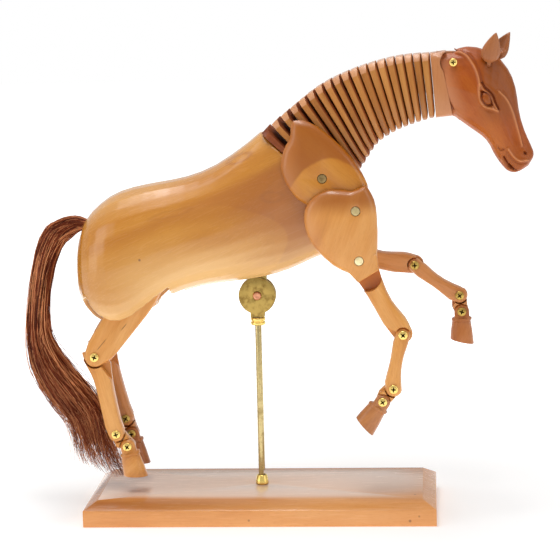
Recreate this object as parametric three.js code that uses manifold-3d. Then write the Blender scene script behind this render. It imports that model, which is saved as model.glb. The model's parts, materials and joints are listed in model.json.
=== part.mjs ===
// A jointed wooden horse on a brass stand, for drawing from.
// Millimetres and degrees. +X is the way the horse looks, +Y is its left, +Z is up.
// The origin is the middle of the board's underside.
import * as THREE from 'three';
import { mergeVertices } from 'three/addons/utils/BufferGeometryUtils.js';
import Module from 'manifold-3d';

const wasm = await Module();
wasm.setup();

// Clearances
const seatGap = 0.3;
const pinGap = 0.3;
const lapGap = 0.3;
const swingGap = 0.5;
const lapSwingGap = 0.35;
const shoulderMargin = 4;

// Board
const boardLength = 214;
const boardWidth = 92;
const boardSideHeight = 10;
const boardChamferHeight = 4.9;
const boardChamferInset = 8.3;
const boardSocketDepth = 9;

// Stand
const rodX = -1.2;
const rodDiameter = 4;
const rodFlatHeight = 4.5;
const rodFlatDepth = 0.9;
const ferruleHeight = 5.6;
const ferruleBaseDiameter = 7.9;
const ferruleTopDiameter = 6.5;
const ferruleStemDiameter = 6.4;
const ferruleStemLength = 7;
const collarDiameter = 9.2;
const collarHeight = 4.6;
const collarGrooveDepth = 0.5;
const collarTopHeight = 120.2;
const hingeRise = 13.8;
// The drawing's height of the hinge. The horse is drawn at it and hung at the real one
const drawnHingeHeight = 134;
const cheekDiameter = 22.8;
const cheekThickness = 1.5;
const cheekTailWidth = 8.6;
const lugThickness = 2.8;
const lugDiameter = 20.6;
const lugStemWidth = 12;
const lugStemTop = 160;
const rivetDiameter = 3;
const rivetHeadDiameter = 5.4;
const rivetHeadHeight = 1.1;

// Torso
const rumpX = -112.6;
const chestX = 64;
const torsoWidest = 32;
const shoulderHalfWidth = 20.2;
const witherPlateThickness = 2.7;
const witherPlateRadius = 7.4;
const torsoRings = 26;
const torsoSides = 28;

// Neck
const neckLeafCount = 19;
const leafTopThickness = 4.9;
const leafMiddleThickness = 4.4;
const leafBottomThickness = 3.6;
const leafGap = 0.38;
const leafFirstWidth = 33;
const leafLastWidth = 24;
const leafCrestChamfer = 3.2;
const leafEdge = 0.4;
const leafRimWidth = 3.8;
const leafRimDepth = 1.3;
const leafCrestRim = 0.2;
const neckHingeShare = 0.3;
const neckBossDiameter = 7;

// Poll and head
const pollX = 119.9;
const pollZ = 274.6;
const pollTongueThickness = 8.4;
const pollTongueRadius = 6.2;
const pollCupRadius = 7.8;
const pollCupUpperAngle = 66;
const pollCupLowerAngle = 40;
const pollBlockWidth = 23.4;
const headSideGap = 0.35;
const headNodUp = 30;
const headNodDown = 1;
const pollScrewDiameter = 3;
const pollScrewHeadDiameter = 4.8;
const pollScrewHeadHeight = 1;
const pollScrewSeat = 11.7;
const headSides = 24;
const earPegDiameter = 3;
const earPegLength = 3.4;

// Front legs
const shoulderX = 41.3;
const shoulderZ = 208;
const shoulderLength = 27.35;
const shoulderDirection = 46.3;
const scapulaInnerY = 20.6;
const scapulaThickness = 5.4;
const humerusLength = 30;
const humerusDirection = 2.9;
const humerusThickness = 7;
const humerusBlockThickness = 5;
const platePinDiameter = 5.2;
const foreLegY = 26.4;
const forearmThickness = 11.2;
const forearmLength = 52;
const elbowTongueRadius = 7.8;
const elbowRecessDepth = 19.7;
const elbowRecessRadius = 9;
const foreCannonLength = 33.6;
const cannonThickness = 9.6;

// Hind legs
const hipX = -68;
const hipZ = 147;
const hindLegY = 17;
const thighThickness = 9;
const thighLength = 56.9;
const hipRadius = 12.6;
const hipPinDiameter = 4;
const hipSlotGap = 0.4;
const hindCannonLength = 49.6;

// Feet
const pasternLength = 10.3;
const pasternThickness = 9.2;
const hoofTopRadius = 5.9;
const hoofSoleRadius = 7.6;
const hoofSoleDistance = 19.5;
const hoofSoleTilt = 14.5;
const hoofWidthShare = 0.88;
const coronetRadius = 6.4;
const coronetDistance = 5.2;

// Half-laps: the radius of the round end on each half, the outer half looks towards -Y
const kneeOuterRadius = 4.4;
const kneeInnerRadius = 5.7;
const fetlockOuterRadius = 5.1;
const fetlockInnerRadius = 4.5;
const coffinOuterRadius = 4.6;
const coffinInnerRadius = 4.4;
const hockOuterRadius = 6.6;
const hockInnerRadius = 6.2;
const legScrewDiameter = 2.4;
const legScrewHeadDiameter = 5.3;
const legScrewHeadHeight = 1.2;
const legScrewHold = 2.6;

// How far each lap may bend, measured from a straight leg: positive swings forward
const kneeBend = [-74, 6];
const fetlockBend = [-58, 40];
const coffinBend = [-38, 24];
const hockBend = [18, 64];
const hipSwing = [-48, 2];

// Directions of the limbs at rest: 0 hangs straight down, positive swings forward
const restPose = {
  near: {
    scapula: 0, arm: 0, forearm: 29.4, foreCannon: -10.5, forePastern: -40.2, foreHoof: -34,
    thigh: -34.4, hindCannon: 13.6, hindPastern: 40.3, hindHoof: 14,
  },
  far: {
    scapula: -12, arm: -27.5, forearm: 78.5, foreCannon: 55, forePastern: 7.1, foreHoof: 2,
    thigh: -36.5, hindCannon: 17, hindPastern: 18.5, hindHoof: 12,
  },
};

// Tail
const tailRootX = -105.4;
const tailRootZ = 178.5;
const tailPegDiameter = 5;
const tailPegLength = 7;
const tailPegTilt = 20;
const tailSeatGap = 0.4;

const wood = { color: 0xcb8c4c, roughness: 0.38, metalness: 0 };
const redWood = { color: 0xb06a3e, roughness: 0.4, metalness: 0 };
const boardWood = { color: 0xc98a58, roughness: 0.25, metalness: 0 };
const brass = { color: 0xc9a84a, roughness: 0.32, metalness: 1 };
const pinMetal = { color: 0xcfc7a8, roughness: 0.35, metalness: 1 };
const hair = { color: 0x6b2a16, roughness: 0.7, metalness: 0 };

// Solids in and out of the boolean library
function toSolid(geometry) {
  const bare = geometry.clone();
  bare.deleteAttribute('normal');
  bare.deleteAttribute('uv');
  const merged = mergeVertices(bare, 1e-4);
  const index = merged.index.array;
  const triangles = [];
  for (let i = 0; i < index.length; i += 3) {
    const [a, b, c] = [index[i], index[i + 1], index[i + 2]];
    if (a !== b && b !== c && c !== a) {
      triangles.push(a, b, c);
    }
  }
  const solid = new wasm.Manifold(new wasm.Mesh({
    numProp: 3,
    vertProperties: Float32Array.from(merged.attributes.position.array),
    triVerts: Uint32Array.from(triangles),
  }));
  if (solid.volume() <= 0) {
    throw new Error('a skin is inside out');
  }
  return solid;
}

function toGeometry(solid) {
  const mesh = solid.getMesh();
  const geometry = new THREE.BufferGeometry();
  geometry.setAttribute('position', new THREE.BufferAttribute(mesh.vertProperties, 3));
  geometry.setIndex(new THREE.BufferAttribute(mesh.triVerts, 1));
  geometry.computeVertexNormals();
  return geometry;
}

function join(...geometries) {
  return geometries.map(toSolid).reduce((a, b) => a.add(b));
}

function cut(solid, ...geometries) {
  return geometries.map(toSolid).reduce((a, b) => a.subtract(b), solid);
}

// Outlines are lists of [x, z] in the side view
function radians(degrees) {
  return THREE.MathUtils.degToRad(degrees);
}

function degrees(angle) {
  return THREE.MathUtils.radToDeg(angle);
}

function along(angle, length, from = [0, 0]) {
  return [from[0] + Math.cos(radians(angle)) * length, from[1] + Math.sin(radians(angle)) * length];
}

function arc(cx, cz, radius, fromAngle, toAngle, steps) {
  const points = [];
  for (let i = 0; i <= steps; i += 1) {
    points.push(along(fromAngle + (toAngle - fromAngle) * i / steps, radius, [cx, cz]));
  }
  return points;
}

function smooth(points, steps) {
  const curve = new THREE.CatmullRomCurve3(
    points.map(([x, z]) => new THREE.Vector3(x, z, 0)), false, 'centripetal');
  return curve.getPoints(steps).map((p) => [p.x, p.y]);
}

// A flat piece cut to a side-view outline, from yLow to yHigh, with rounded edges
function plate(outline, yLow, yHigh, edge = 0, edgeSteps = 2) {
  const shape = new THREE.Shape(outline.map(([x, z]) => new THREE.Vector2(x, z)));
  const geometry = new THREE.ExtrudeGeometry(shape, {
    depth: yHigh - yLow - 2 * edge,
    bevelEnabled: edge > 0,
    bevelThickness: edge,
    bevelSize: edge,
    bevelOffset: -edge,
    bevelSegments: edgeSteps,
    curveSegments: 1,
  });
  geometry.rotateX(Math.PI / 2);
  geometry.translate(0, yHigh - edge, 0);
  return geometry;
}

function bar(radius, yLow, yHigh, x = 0, z = 0, sides = 24) {
  const geometry = new THREE.CylinderGeometry(radius, radius, yHigh - yLow, sides);
  geometry.translate(x, (yLow + yHigh) / 2, z);
  return geometry;
}

function post(radius, zLow, zHigh, x = 0, y = 0, sides = 24) {
  const geometry = new THREE.CylinderGeometry(radius, radius, zHigh - zLow, sides);
  geometry.rotateX(Math.PI / 2);
  geometry.translate(x, y, (zLow + zHigh) / 2);
  return geometry;
}

function block(xLow, xHigh, yLow, yHigh, zLow, zHigh) {
  const geometry = new THREE.BoxGeometry(xHigh - xLow, yHigh - yLow, zHigh - zLow);
  geometry.translate((xLow + xHigh) / 2, (yLow + yHigh) / 2, (zLow + zHigh) / 2);
  return geometry;
}

// A turned piece round the Z axis at x, from a closed profile of [radius, z]
function turned(profile, x, sides = 20) {
  const points = profile.map(([r, z]) => new THREE.Vector2(r, z));
  const geometry = new THREE.LatheGeometry(points, sides);
  geometry.rotateX(Math.PI / 2);
  geometry.translate(x, 0, 0);
  return geometry;
}

// A skin over rings of equal point counts, closed by a point at each end
function loft(rings, startPoint, endPoint) {
  const count = rings[0].length;
  const vertices = [];
  const index = [];
  rings.forEach((ring) => ring.forEach((p) => vertices.push(...p)));
  for (let r = 0; r < rings.length - 1; r += 1) {
    for (let i = 0; i < count; i += 1) {
      const a = r * count + i;
      const b = r * count + (i + 1) % count;
      index.push(a, b, a + count, b, b + count, a + count);
    }
  }
  const start = vertices.length / 3;
  vertices.push(...startPoint, ...endPoint);
  const last = (rings.length - 1) * count;
  for (let i = 0; i < count; i += 1) {
    const next = (i + 1) % count;
    index.push(start, next, i, start + 1, last + i, last + next);
  }
  const geometry = new THREE.BufferGeometry();
  geometry.setAttribute('position', new THREE.BufferAttribute(new Float32Array(vertices), 3));
  geometry.setIndex(index);
  return geometry;
}

function superOval(angle, power) {
  const c = Math.cos(angle);
  const s = Math.sin(angle);
  return [
    Math.sign(c) * Math.abs(c) ** (2 / power),
    Math.sign(s) * Math.abs(s) ** (2 / power),
  ];
}

// The value of a curve through [x, value] points, found at x
function lineAt(line, x) {
  const curve = new THREE.CatmullRomCurve3(
    line.map(([px, pz]) => new THREE.Vector3(px, pz, 0)), false, 'centripetal');
  let low = 0;
  let high = 1;
  for (let i = 0; i < 30; i += 1) {
    const middle = (low + high) / 2;
    if (curve.getPoint(middle).x < x) {
      low = middle;
    } else {
      high = middle;
    }
  }
  return curve.getPoint((low + high) / 2).y;
}

function node(name, shape, finish) {
  const geometry = shape instanceof THREE.BufferGeometry ? shape : toGeometry(shape);
  const mesh = new THREE.Mesh(geometry, new THREE.MeshStandardMaterial(finish));
  mesh.name = name;
  return mesh;
}

// Board: a plank with a wide chamfer round its top, and a blind socket for the stand
const boardTop = boardSideHeight + boardChamferHeight;

function boardRing(z, inset) {
  const x = boardLength / 2 - inset;
  const y = boardWidth / 2 - inset;
  return [[x, -y, z], [x, y, z], [-x, y, z], [-x, -y, z]];
}

function baseBoard() {
  const rings = [
    boardRing(0, 0),
    boardRing(boardSideHeight, 0),
    boardRing(boardTop, boardChamferInset),
  ];
  const plank = loft(rings, [0, 0, 0], [0, 0, boardTop]);
  const socket = post(
    ferruleStemDiameter / 2 + pinGap, boardTop - boardSocketDepth, boardTop + 1, rodX);
  return cut(toSolid(plank), socket);
}

// Ferrule: a cone on the board with a stem in the socket, bored for the rod
const ferruleBottom = boardTop + seatGap;
const ferruleTop = ferruleBottom + ferruleHeight;

function baseFerrule() {
  const bore = rodDiameter / 2 + pinGap;
  const stemBottom = boardTop - ferruleStemLength;
  return toSolid(turned([
    [bore, stemBottom],
    [ferruleStemDiameter / 2, stemBottom],
    [ferruleStemDiameter / 2, ferruleBottom],
    [ferruleBaseDiameter / 2, ferruleBottom],
    [ferruleBaseDiameter / 2, ferruleBottom + 1],
    [ferruleTopDiameter / 2, ferruleTop - 0.4],
    [ferruleTopDiameter / 2 - 0.4, ferruleTop],
    [bore, ferruleTop],
    [bore, stemBottom],
  ], rodX));
}

// Rod: round, with a milled flat just above the ferrule
const rodBottom = boardTop - boardSocketDepth + seatGap;
const hingeHeight = collarTopHeight + hingeRise;
const collarBottom = collarTopHeight - collarHeight;
const rodTop = collarTopHeight - seatGap;

function supportRod() {
  const rod = post(rodDiameter / 2, rodBottom, rodTop, rodX);
  const flatBottom = ferruleTop - 1.5;
  const flat = block(
    rodX + rodDiameter / 2 - rodFlatDepth, rodX + rodDiameter,
    -rodDiameter, rodDiameter, flatBottom, flatBottom + rodFlatHeight);
  return cut(toSolid(rod), flat);
}

function hingeCollar() {
  const bore = rodDiameter / 2 + pinGap;
  const outer = collarDiameter / 2;
  const waist = outer - collarGrooveDepth;
  const middle = (collarBottom + collarTopHeight) / 2;
  return toSolid(turned([
    [bore, collarBottom], [outer - 0.4, collarBottom], [outer, collarBottom + 0.4],
    [outer, middle - 0.6], [waist, middle - 0.3], [waist, middle + 0.3], [outer, middle + 0.6],
    [outer, collarTopHeight - 0.4], [outer - 0.4, collarTopHeight], [bore, collarTopHeight],
    [bore, collarBottom],
  ], rodX));
}

// Hinge: two round cheeks on the collar, a lug of the horse between them, a rivet through all
const lugHalf = lugThickness / 2;
const cheekInner = lugHalf + seatGap;
const cheekOuter = cheekInner + cheekThickness;
const rivetHole = rivetDiameter / 2 + pinGap;

function hingeCheek(side) {
  const low = side > 0 ? cheekInner : -cheekOuter;
  const high = side > 0 ? cheekOuter : -cheekInner;
  const radius = cheekDiameter / 2;
  const half = cheekTailWidth / 2;
  const corner = degrees(Math.acos(half / radius));
  const outline = [
    ...arc(rodX, hingeHeight, radius, -corner, 180 + corner, 34),
    [rodX - half, collarTopHeight + seatGap],
    [rodX + half, collarTopHeight + seatGap],
  ];
  return cut(toSolid(plate(outline, low, high)), bar(rivetHole, low - 1, high + 1, rodX, hingeHeight));
}

function hingeRivet() {
  const seat = cheekOuter + 0.2;
  const top = seat + rivetHeadHeight;
  const dish = 0.35;
  const half = rivetHeadDiameter / 2;
  const upper = [
    [rivetDiameter / 2, seat], [half, seat], [half, seat + 0.3], [half * 0.8, top],
    [half * 0.45, top], [0, top - dish],
  ];
  const lower = upper.map(([r, y]) => [r, -y]).reverse();
  const points = [...lower, ...upper].map(([r, y]) => new THREE.Vector2(r, y));
  const geometry = new THREE.LatheGeometry(points, 16);
  geometry.translate(rodX, 0, hingeHeight);
  return toSolid(geometry);
}

function bellyLug() {
  const radius = lugDiameter / 2;
  const half = lugStemWidth / 2;
  const corner = degrees(Math.acos(half / radius));
  const outline = [
    ...arc(rodX, drawnHingeHeight, radius, 180 - corner, 360 + corner, 30),
    [rodX + half, lugStemTop],
    [rodX - half, lugStemTop],
  ];
  const hole = bar(rivetHole, -lugHalf - 1, lugHalf + 1, rodX, drawnHingeHeight);
  return cut(toSolid(plate(outline, -lugHalf, lugHalf)), hole);
}

// Torso: back, belly and half width along the length
const backLine = [
  [-112.6, 150], [-110.6, 167], [-105.7, 181.9], [-98, 190.5], [-88, 197.6], [-76, 201.8],
  [-61.3, 204.6], [-46.4, 207.1], [-35.7, 210.1], [-25.1, 214.6], [-9.1, 224.8], [4.6, 235.4],
  [18, 243], [34, 241], [48, 229], [58, 211], [63, 192], [64, 176],
];
const bellyLine = [
  [-112.6, 150], [-111.5, 141.5], [-107.7, 131.6], [-100.4, 122.8], [-88.8, 118], [-80, 119],
  [-66, 127.3], [-53, 134.7], [-40, 139.4], [-27.2, 141.9], [-11.2, 143.6], [4.7, 145.8],
  [18.6, 149.9], [35.7, 157.5], [50, 163], [60, 169.5], [64, 176],
];
const widthLine = [
  [-112.6, 0], [-111.8, 9], [-109.5, 16], [-105, 23], [-97, 28.8], [-85, torsoWidest],
  [-68, torsoWidest - 0.6], [-48, 29.4], [-28, 28.8], [-12, 26.8], [2, 23],
  [12, shoulderHalfWidth], [26, 19.6], [44, 18.4], [56, 14.5], [62, 8.5], [64, 0],
];

function torsoRing(x, grow) {
  const top = lineAt(backLine, x);
  const bottom = lineAt(bellyLine, x);
  const half = lineAt(widthLine, x) + grow;
  const middle = bottom + (top - bottom) * 0.46;
  const haunch = Math.exp(-(((x + 88) / 26) ** 2));
  const flank = THREE.MathUtils.smoothstep(x, 0, 26);
  const lowPower = 2.25 + 0.9 * haunch + 0.6 * flank;
  const highPower = 2.2 + 0.8 * flank;
  const ring = [];
  for (let i = 0; i < torsoSides; i += 1) {
    const angle = i / torsoSides * Math.PI * 2;
    const upper = Math.sin(angle) >= 0;
    const [c, s] = superOval(angle, upper ? highPower : lowPower);
    const height = (upper ? top - middle : middle - bottom) + grow;
    ring.push([x, half * c, middle + height * s]);
  }
  return ring;
}

function torsoSkin(grow) {
  const rings = [];
  for (let i = 1; i < torsoRings; i += 1) {
    const even = i / torsoRings;
    const eased = (1 - Math.cos(even * Math.PI)) / 2;
    rings.push(torsoRing(rumpX + (chestX - rumpX) * (eased * 0.62 + even * 0.38), grow));
  }
  const rump = [rumpX - grow, 0, lineAt(backLine, rumpX)];
  const chest = [chestX + grow, 0, lineAt(backLine, chestX)];
  return loft(rings, rump, chest);
}

// Neck: leaves stand between a crest curve and a throat curve, three leaves to a point.
// The first and the last point of a curve lie beyond the leaves
const crestCurve = new THREE.SplineCurve([
  [-15, 219], [6.5, 236.2], [24, 250.2], [39.3, 261.6], [55.1, 269.3], [71.3, 274.8],
  [87.8, 278.6], [103.4, 279.8], [118.6, 279.6],
].map(([x, z]) => new THREE.Vector2(x, z)));
const throatCurve = new THREE.SplineCurve([
  [43.2, 180.5], [51, 192.8], [58.8, 204.9], [66.1, 215.3], [73.8, 226.3], [84.3, 233.5],
  [95.5, 238], [107.2, 241.4], [119.6, 244.6],
].map(([x, z]) => new THREE.Vector2(x, z)));

function leafPlace(i) {
  const share = i / (neckLeafCount - 1);
  const spot = (i + 3) / (neckLeafCount + 5);
  const top = crestCurve.getPoint(spot);
  const bottom = throatCurve.getPoint(spot);
  return {
    top,
    bottom,
    length: top.distanceTo(bottom),
    tilt: degrees(Math.atan2(bottom.x - top.x, top.y - bottom.y)),
    width: leafFirstWidth + (leafLastWidth - leafFirstWidth) * share,
  };
}

// A leaf stands at the origin with its crest end up and its faces along X. [y, z] outline
function leafOutline(length, width) {
  const half = width / 2;
  const side = [
    [half - leafCrestChamfer, length / 2], [half, length / 2 - leafCrestChamfer * 1.3],
    [half, -length * 0.2], [half * 0.95, -length * 0.34], [half * 0.8, -length * 0.44],
    [half * 0.48, -length / 2],
  ];
  return [...side, ...side.map(([y, z]) => [-y, z]).reverse()];
}

function leafNormal(i) {
  const { tilt } = leafPlace(i);
  return new THREE.Vector2(Math.cos(radians(tilt)), Math.sin(radians(tilt)));
}

// How far the next leaf lies from leaf i, at a share of the way from the crest to the throat
function leafStep(i, share) {
  const [place, ahead] = [leafPlace(i), leafPlace(i + 1)];
  const from = place.top.clone().lerp(place.bottom, share);
  return ahead.top.clone().lerp(ahead.bottom, share).sub(from).dot(leafNormal(i));
}

// A leaf is a wedge that is thickest at its crest, and thinner where the next one comes close
function leafThicknessAt(i, z) {
  const down = THREE.MathUtils.clamp(0.5 - z / leafPlace(i).length, 0, 1);
  const share = 1 - 2 * down;
  const end = share > 0 ? leafTopThickness : leafBottomThickness;
  const wedge = leafMiddleThickness + (end - leafMiddleThickness) * Math.abs(share);
  return Math.min(wedge, leafStep(i, down) - leafGap);
}

function facingX(outline, depth, edge) {
  const shape = new THREE.Shape(outline.map(([y, z]) => new THREE.Vector2(y, z)));
  const geometry = new THREE.ExtrudeGeometry(shape, {
    depth: depth - 2 * edge,
    bevelEnabled: true,
    bevelThickness: edge,
    bevelSize: edge,
    bevelOffset: -edge,
    bevelSegments: 1,
    curveSegments: 1,
  });
  geometry.translate(0, 0, edge - depth / 2);
  const axes = [new THREE.Vector3(0, 1, 0), new THREE.Vector3(0, 0, 1), new THREE.Vector3(1, 0, 0)];
  return geometry.applyMatrix4(new THREE.Matrix4().makeBasis(...axes));
}

function leafRing(i, side, inset, depth) {
  const { length, width } = leafPlace(i);
  return leafOutline(length, width).reverse().map(([y, z]) => {
    const rim = z > length * 0.49 ? leafCrestRim : 1;
    const inZ = z * (1 - 2 * inset * rim / length);
    const x = leafThicknessAt(i, inZ) / 2 - depth * rim;
    return [side * x, y * (1 - 2 * inset / width), inZ];
  });
}

// The head side of a leaf is rounded off along its edge, which leaves a groove before the next
function leafSlab(i) {
  const rings = [
    leafRing(i, -1, leafEdge, 0), leafRing(i, -1, 0, leafEdge), leafRing(i, 1, 0, leafRimDepth),
    leafRing(i, 1, leafRimWidth * 0.25, leafRimDepth * 0.45), leafRing(i, 1, leafRimWidth, 0),
  ];
  const half = leafThicknessAt(i, 0) / 2;
  return loft(rings, [-half, 0, 0], [half, 0, 0]);
}

function leafPivot(place) {
  return place.top.clone().lerp(place.bottom, neckHingeShare);
}

// Each leaf turns on a small boss that spaces it from the leaf before it
function leafBoss(i) {
  const place = leafPlace(i);
  const before = leafPlace(i - 1);
  const hingeZ = place.length * (0.5 - neckHingeShare);
  const step = leafPivot(place).sub(leafPivot(before)).dot(leafNormal(i));
  const near = leafThicknessAt(i, hingeZ) / 2;
  const far = leafThicknessAt(i - 1, before.length * (0.5 - neckHingeShare)) / 2;
  const length = step - near - far - seatGap;
  const boss = new THREE.CylinderGeometry(
    neckBossDiameter / 2, neckBossDiameter / 2, length + 1, 12);
  boss.rotateZ(Math.PI / 2);
  boss.translate(-near - length / 2 + 0.5, 0, hingeZ);
  return boss;
}

function neckLeaf(i) {
  const slab = leafSlab(i);
  return i === 0 ? toSolid(slab) : join(slab, leafBoss(i));
}

function leafMatrix(i) {
  const place = leafPlace(i);
  const middle = place.top.clone().lerp(place.bottom, 0.5);
  const matrix = new THREE.Matrix4().makeRotationY(-radians(place.tilt));
  return matrix.setPosition(middle.x, 0, middle.y);
}

// The torso ends in a flat seat, a seat gap behind the first leaf
function neckSeatCut() {
  const half = leafPlace(0).length / 2;
  const reach = 60;
  const [top, middle, bottom] = [leafTopThickness, leafMiddleThickness, leafBottomThickness]
    .map((thickness) => -thickness / 2 - seatGap);
  const outline = [
    [middle + (top - middle) / half * reach, reach], [middle, 0],
    [middle + (bottom - middle) / half * reach, -reach],
    [reach, -reach], [reach, reach],
  ];
  return plate(outline, -reach, reach).applyMatrix4(leafMatrix(0));
}

// Poll block: a last thick leaf with a cup for the head and a tongue that the head turns on
const jawFoot = [119.4, 242.6];

// Its neck side lies a leaf gap ahead of the last leaf
function pollNeckSide() {
  const last = neckLeafCount - 1;
  const { top, bottom, length } = leafPlace(last);
  return [[top, length / 2], [bottom, -length / 2]].map(([end, z]) => end.clone()
    .addScaledVector(leafNormal(last), leafThicknessAt(last, z) / 2 + leafGap)
    .toArray());
}

function pollBlock() {
  const half = pollBlockWidth / 2;
  const [neckTop, neckFoot] = pollNeckSide();
  const upper = along(180 - pollCupUpperAngle, pollCupRadius, [pollX, pollZ]);
  const side = [
    ...arc(pollX, pollZ, pollCupRadius, 180 - pollCupUpperAngle, 180 + pollCupLowerAngle, 12),
    jawFoot, neckFoot, neckTop, [upper[0], upper[1] + 0.5],
  ];
  const middleZ = (neckTop[1] + neckFoot[1]) / 2;
  const length = neckTop[1] - neckFoot[1] + 0.8;
  const face = facingX(leafOutline(length, pollBlockWidth), 40, 0.3);
  face.rotateY(-radians(7));
  face.translate(112, 0, middleZ);
  const body = toSolid(plate(side, -half - 1, half + 1)).intersect(toSolid(face));
  const tongue = plate([
    ...arc(pollX, pollZ, pollTongueRadius, -90, 90, 12),
    [110, pollZ + pollTongueRadius], [110, pollZ - pollTongueRadius],
  ], -pollTongueThickness / 2, pollTongueThickness / 2);
  const hole = bar(pollScrewDiameter / 2 + pinGap, -half, half, pollX, pollZ);
  return cut(body.add(toSolid(tongue)).add(toSolid(pollBoss())), hole);
}

function pollBoss() {
  const last = leafPlace(neckLeafCount - 1);
  const face = leafThicknessAt(neckLeafCount - 1, last.length * (0.5 - neckHingeShare)) / 2;
  const boss = new THREE.CylinderGeometry(neckBossDiameter / 2, neckBossDiameter / 2, 4, 12);
  boss.rotateZ(Math.PI / 2);
  boss.translate(face + seatGap + 2, 0, 0);
  boss.rotateY(-radians(last.tilt));
  const pivot = leafPivot(last);
  return boss.translate(pivot.x, 0, pivot.y);
}

// Head: rings between the forehead and the jaw, from the poll to the lips
const headStations = [
  { top: [111, 280.9], jaw: [114, 242.6], half: 11.8 },
  { top: [117.5, 281.9], jaw: [119.5, 242.2], half: 12.3 },
  { top: [124, 283.0], jaw: [125, 238.2], half: 13.1 },
  { top: [131.5, 283.2], jaw: [131.2, 233.6], half: 13.7 },
  { top: [139, 281.3], jaw: [136.6, 229.7], half: 13.8 },
  { top: [146.5, 276.8], jaw: [140.6, 225.4], half: 13.2 },
  { top: [152.4, 269.8], jaw: [143.2, 220], half: 12 },
  { top: [156.2, 261.6], jaw: [145.4, 216.2], half: 10.6 },
  { top: [158.1, 252], jaw: [147.5, 213.1], half: 9.4 },
  { top: [159.4, 242.4], jaw: [149.5, 210.7], half: 8.5 },
  { top: [162.2, 232.8], jaw: [151.6, 208.6], half: 7.8 },
  { top: [165.2, 225.6], jaw: [153.8, 207.5], half: 7.5 },
  { top: [167.6, 219.9], jaw: [156.4, 207.2], half: 7 },
  { top: [167.6, 216.8], jaw: [159, 208], half: 5.6 },
  { top: [166.2, 214.2], jaw: [161.6, 209.4], half: 3.2 },
];

function headRing(station, grow) {
  const across = [station.top[0] - station.jaw[0], station.top[1] - station.jaw[1]];
  const length = Math.hypot(...across);
  const unit = across.map((v) => v / length);
  const middle = station.top.map((v, k) => v * 0.46 + station.jaw[k] * 0.54);
  const ring = [];
  for (let i = 0; i < headSides; i += 1) {
    const angle = i / headSides * Math.PI * 2;
    const [c, s] = superOval(angle, 2.35);
    const reach = (s >= 0 ? length * 0.54 : length * 0.46) + grow;
    const taper = s > 0 ? 1 - 0.16 * s : 1 + 0.1 * s;
    ring.push([
      middle[0] + unit[0] * reach * s,
      (station.half + grow) * c * taper,
      middle[1] + unit[1] * reach * s,
    ]);
  }
  return ring;
}

function headSkin(grow) {
  const steps = 21;
  const tops = smooth(headStations.map((s) => s.top), steps);
  const jaws = smooth(headStations.map((s) => s.jaw), steps);
  const halves = smooth(headStations.map((s, i) => [i, s.half]), steps);
  const rings = tops.map((top, i) => headRing({ top, jaw: jaws[i], half: halves[i][1] }, grow));
  return loft(rings, [111.6 - grow, 0, 262], [164.6 + grow, 0, 211.2 - grow]);
}

function headSlot() {
  const radius = pollTongueRadius + swingGap;
  const half = pollTongueThickness / 2 + seatGap;
  const upper = 90 - headNodUp;
  const lower = -90 + headNodDown;
  const outline = [
    ...arc(pollX, pollZ, radius, lower, upper, 14),
    along(upper + 90, 24, along(upper, radius, [pollX, pollZ])),
    along(lower - 90, 24, along(lower, radius, [pollX, pollZ])),
  ];
  return plate(outline, -half, half);
}

function headRearCut() {
  const radius = pollCupRadius - seatGap;
  const foot = [jawFoot[0] + headSideGap, jawFoot[1] - 0.4];
  const outline = [
    [90, 225], [foot[0] + 1.6, 225], foot,
    ...arc(pollX, pollZ, radius, 180 + pollCupLowerAngle, 180 - pollCupUpperAngle, 12),
    [pollX - radius * Math.cos(radians(pollCupUpperAngle)), 300], [90, 300],
  ];
  return plate(outline, -20, 20);
}

// Ears: a leaf-shaped cup on a peg
const earRootNear = [141.3, 276.8];
const earRootFar = [145.4, 276.2];
const earLeanNear = 12;
const earLeanFar = 22;
const earSpread = 20;
const earTurn = 18;
const earY = 8.2;

function earMatrix(side) {
  const [x, z] = side < 0 ? earRootNear : earRootFar;
  const lean = new THREE.Matrix4().makeRotationY(radians(side < 0 ? earLeanNear : earLeanFar));
  const spread = new THREE.Matrix4().makeRotationX(-side * radians(earSpread));
  const turn = new THREE.Matrix4().makeRotationZ(-side * radians(earTurn));
  return spread.multiply(lean).multiply(turn).setPosition(x, side * earY, z);
}

function earRings(wide, deep, height, lift) {
  const rings = [];
  const count = 8;
  const sides = 12;
  for (let k = 0; k < count; k += 1) {
    const t = (k + 0.35) / count;
    const swell = Math.sin(Math.PI * t ** 0.62) ** 0.8 * (1 - 0.25 * t);
    const curl = 1.8 * t * t;
    const ring = [];
    for (let i = 0; i < sides; i += 1) {
      const angle = i / sides * Math.PI * 2;
      ring.push([
        wide * swell * Math.cos(angle) + curl,
        deep * swell * Math.sin(angle),
        lift + height * t,
      ]);
    }
    rings.push(ring);
  }
  return loft(rings, [0, 0, lift], [1.9, 0, lift + height]);
}

function earPeg(side, extra) {
  const radius = earPegDiameter / 2 + extra;
  return post(radius, -earPegLength - 2 - extra, 0.6, 0, 0, 14).applyMatrix4(earMatrix(side));
}

function earBody(side) {
  const cup = earRings(5.2, 3.6, 15.6, 1.6);
  cup.translate(0.6, -side * 2.6, 0);
  const shell = cut(toSolid(earRings(6.6, 4, 17.5, -1.5)), cup);
  const placed = shell.transform(earMatrix(side).elements);
  return cut(placed, headSkin(seatGap)).add(toSolid(earPeg(side, 0)));
}

function headBody() {
  const hole = bar(pollScrewDiameter / 2 + pinGap, -20, 20, pollX, pollZ);
  return cut(
    toSolid(headSkin(0)), headRearCut(), headSlot(), hole,
    earPeg(1, pinGap), earPeg(-1, pinGap));
}

function pollScrew() {
  const shank = bar(pollScrewDiameter / 2, -pollScrewSeat - 0.4, 9.6, pollX, pollZ, 16);
  const cap = bar(
    pollScrewHeadDiameter / 2, -pollScrewSeat - pollScrewHeadHeight, -pollScrewSeat,
    pollX, pollZ, 20);
  return join(shank, cap);
}

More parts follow.
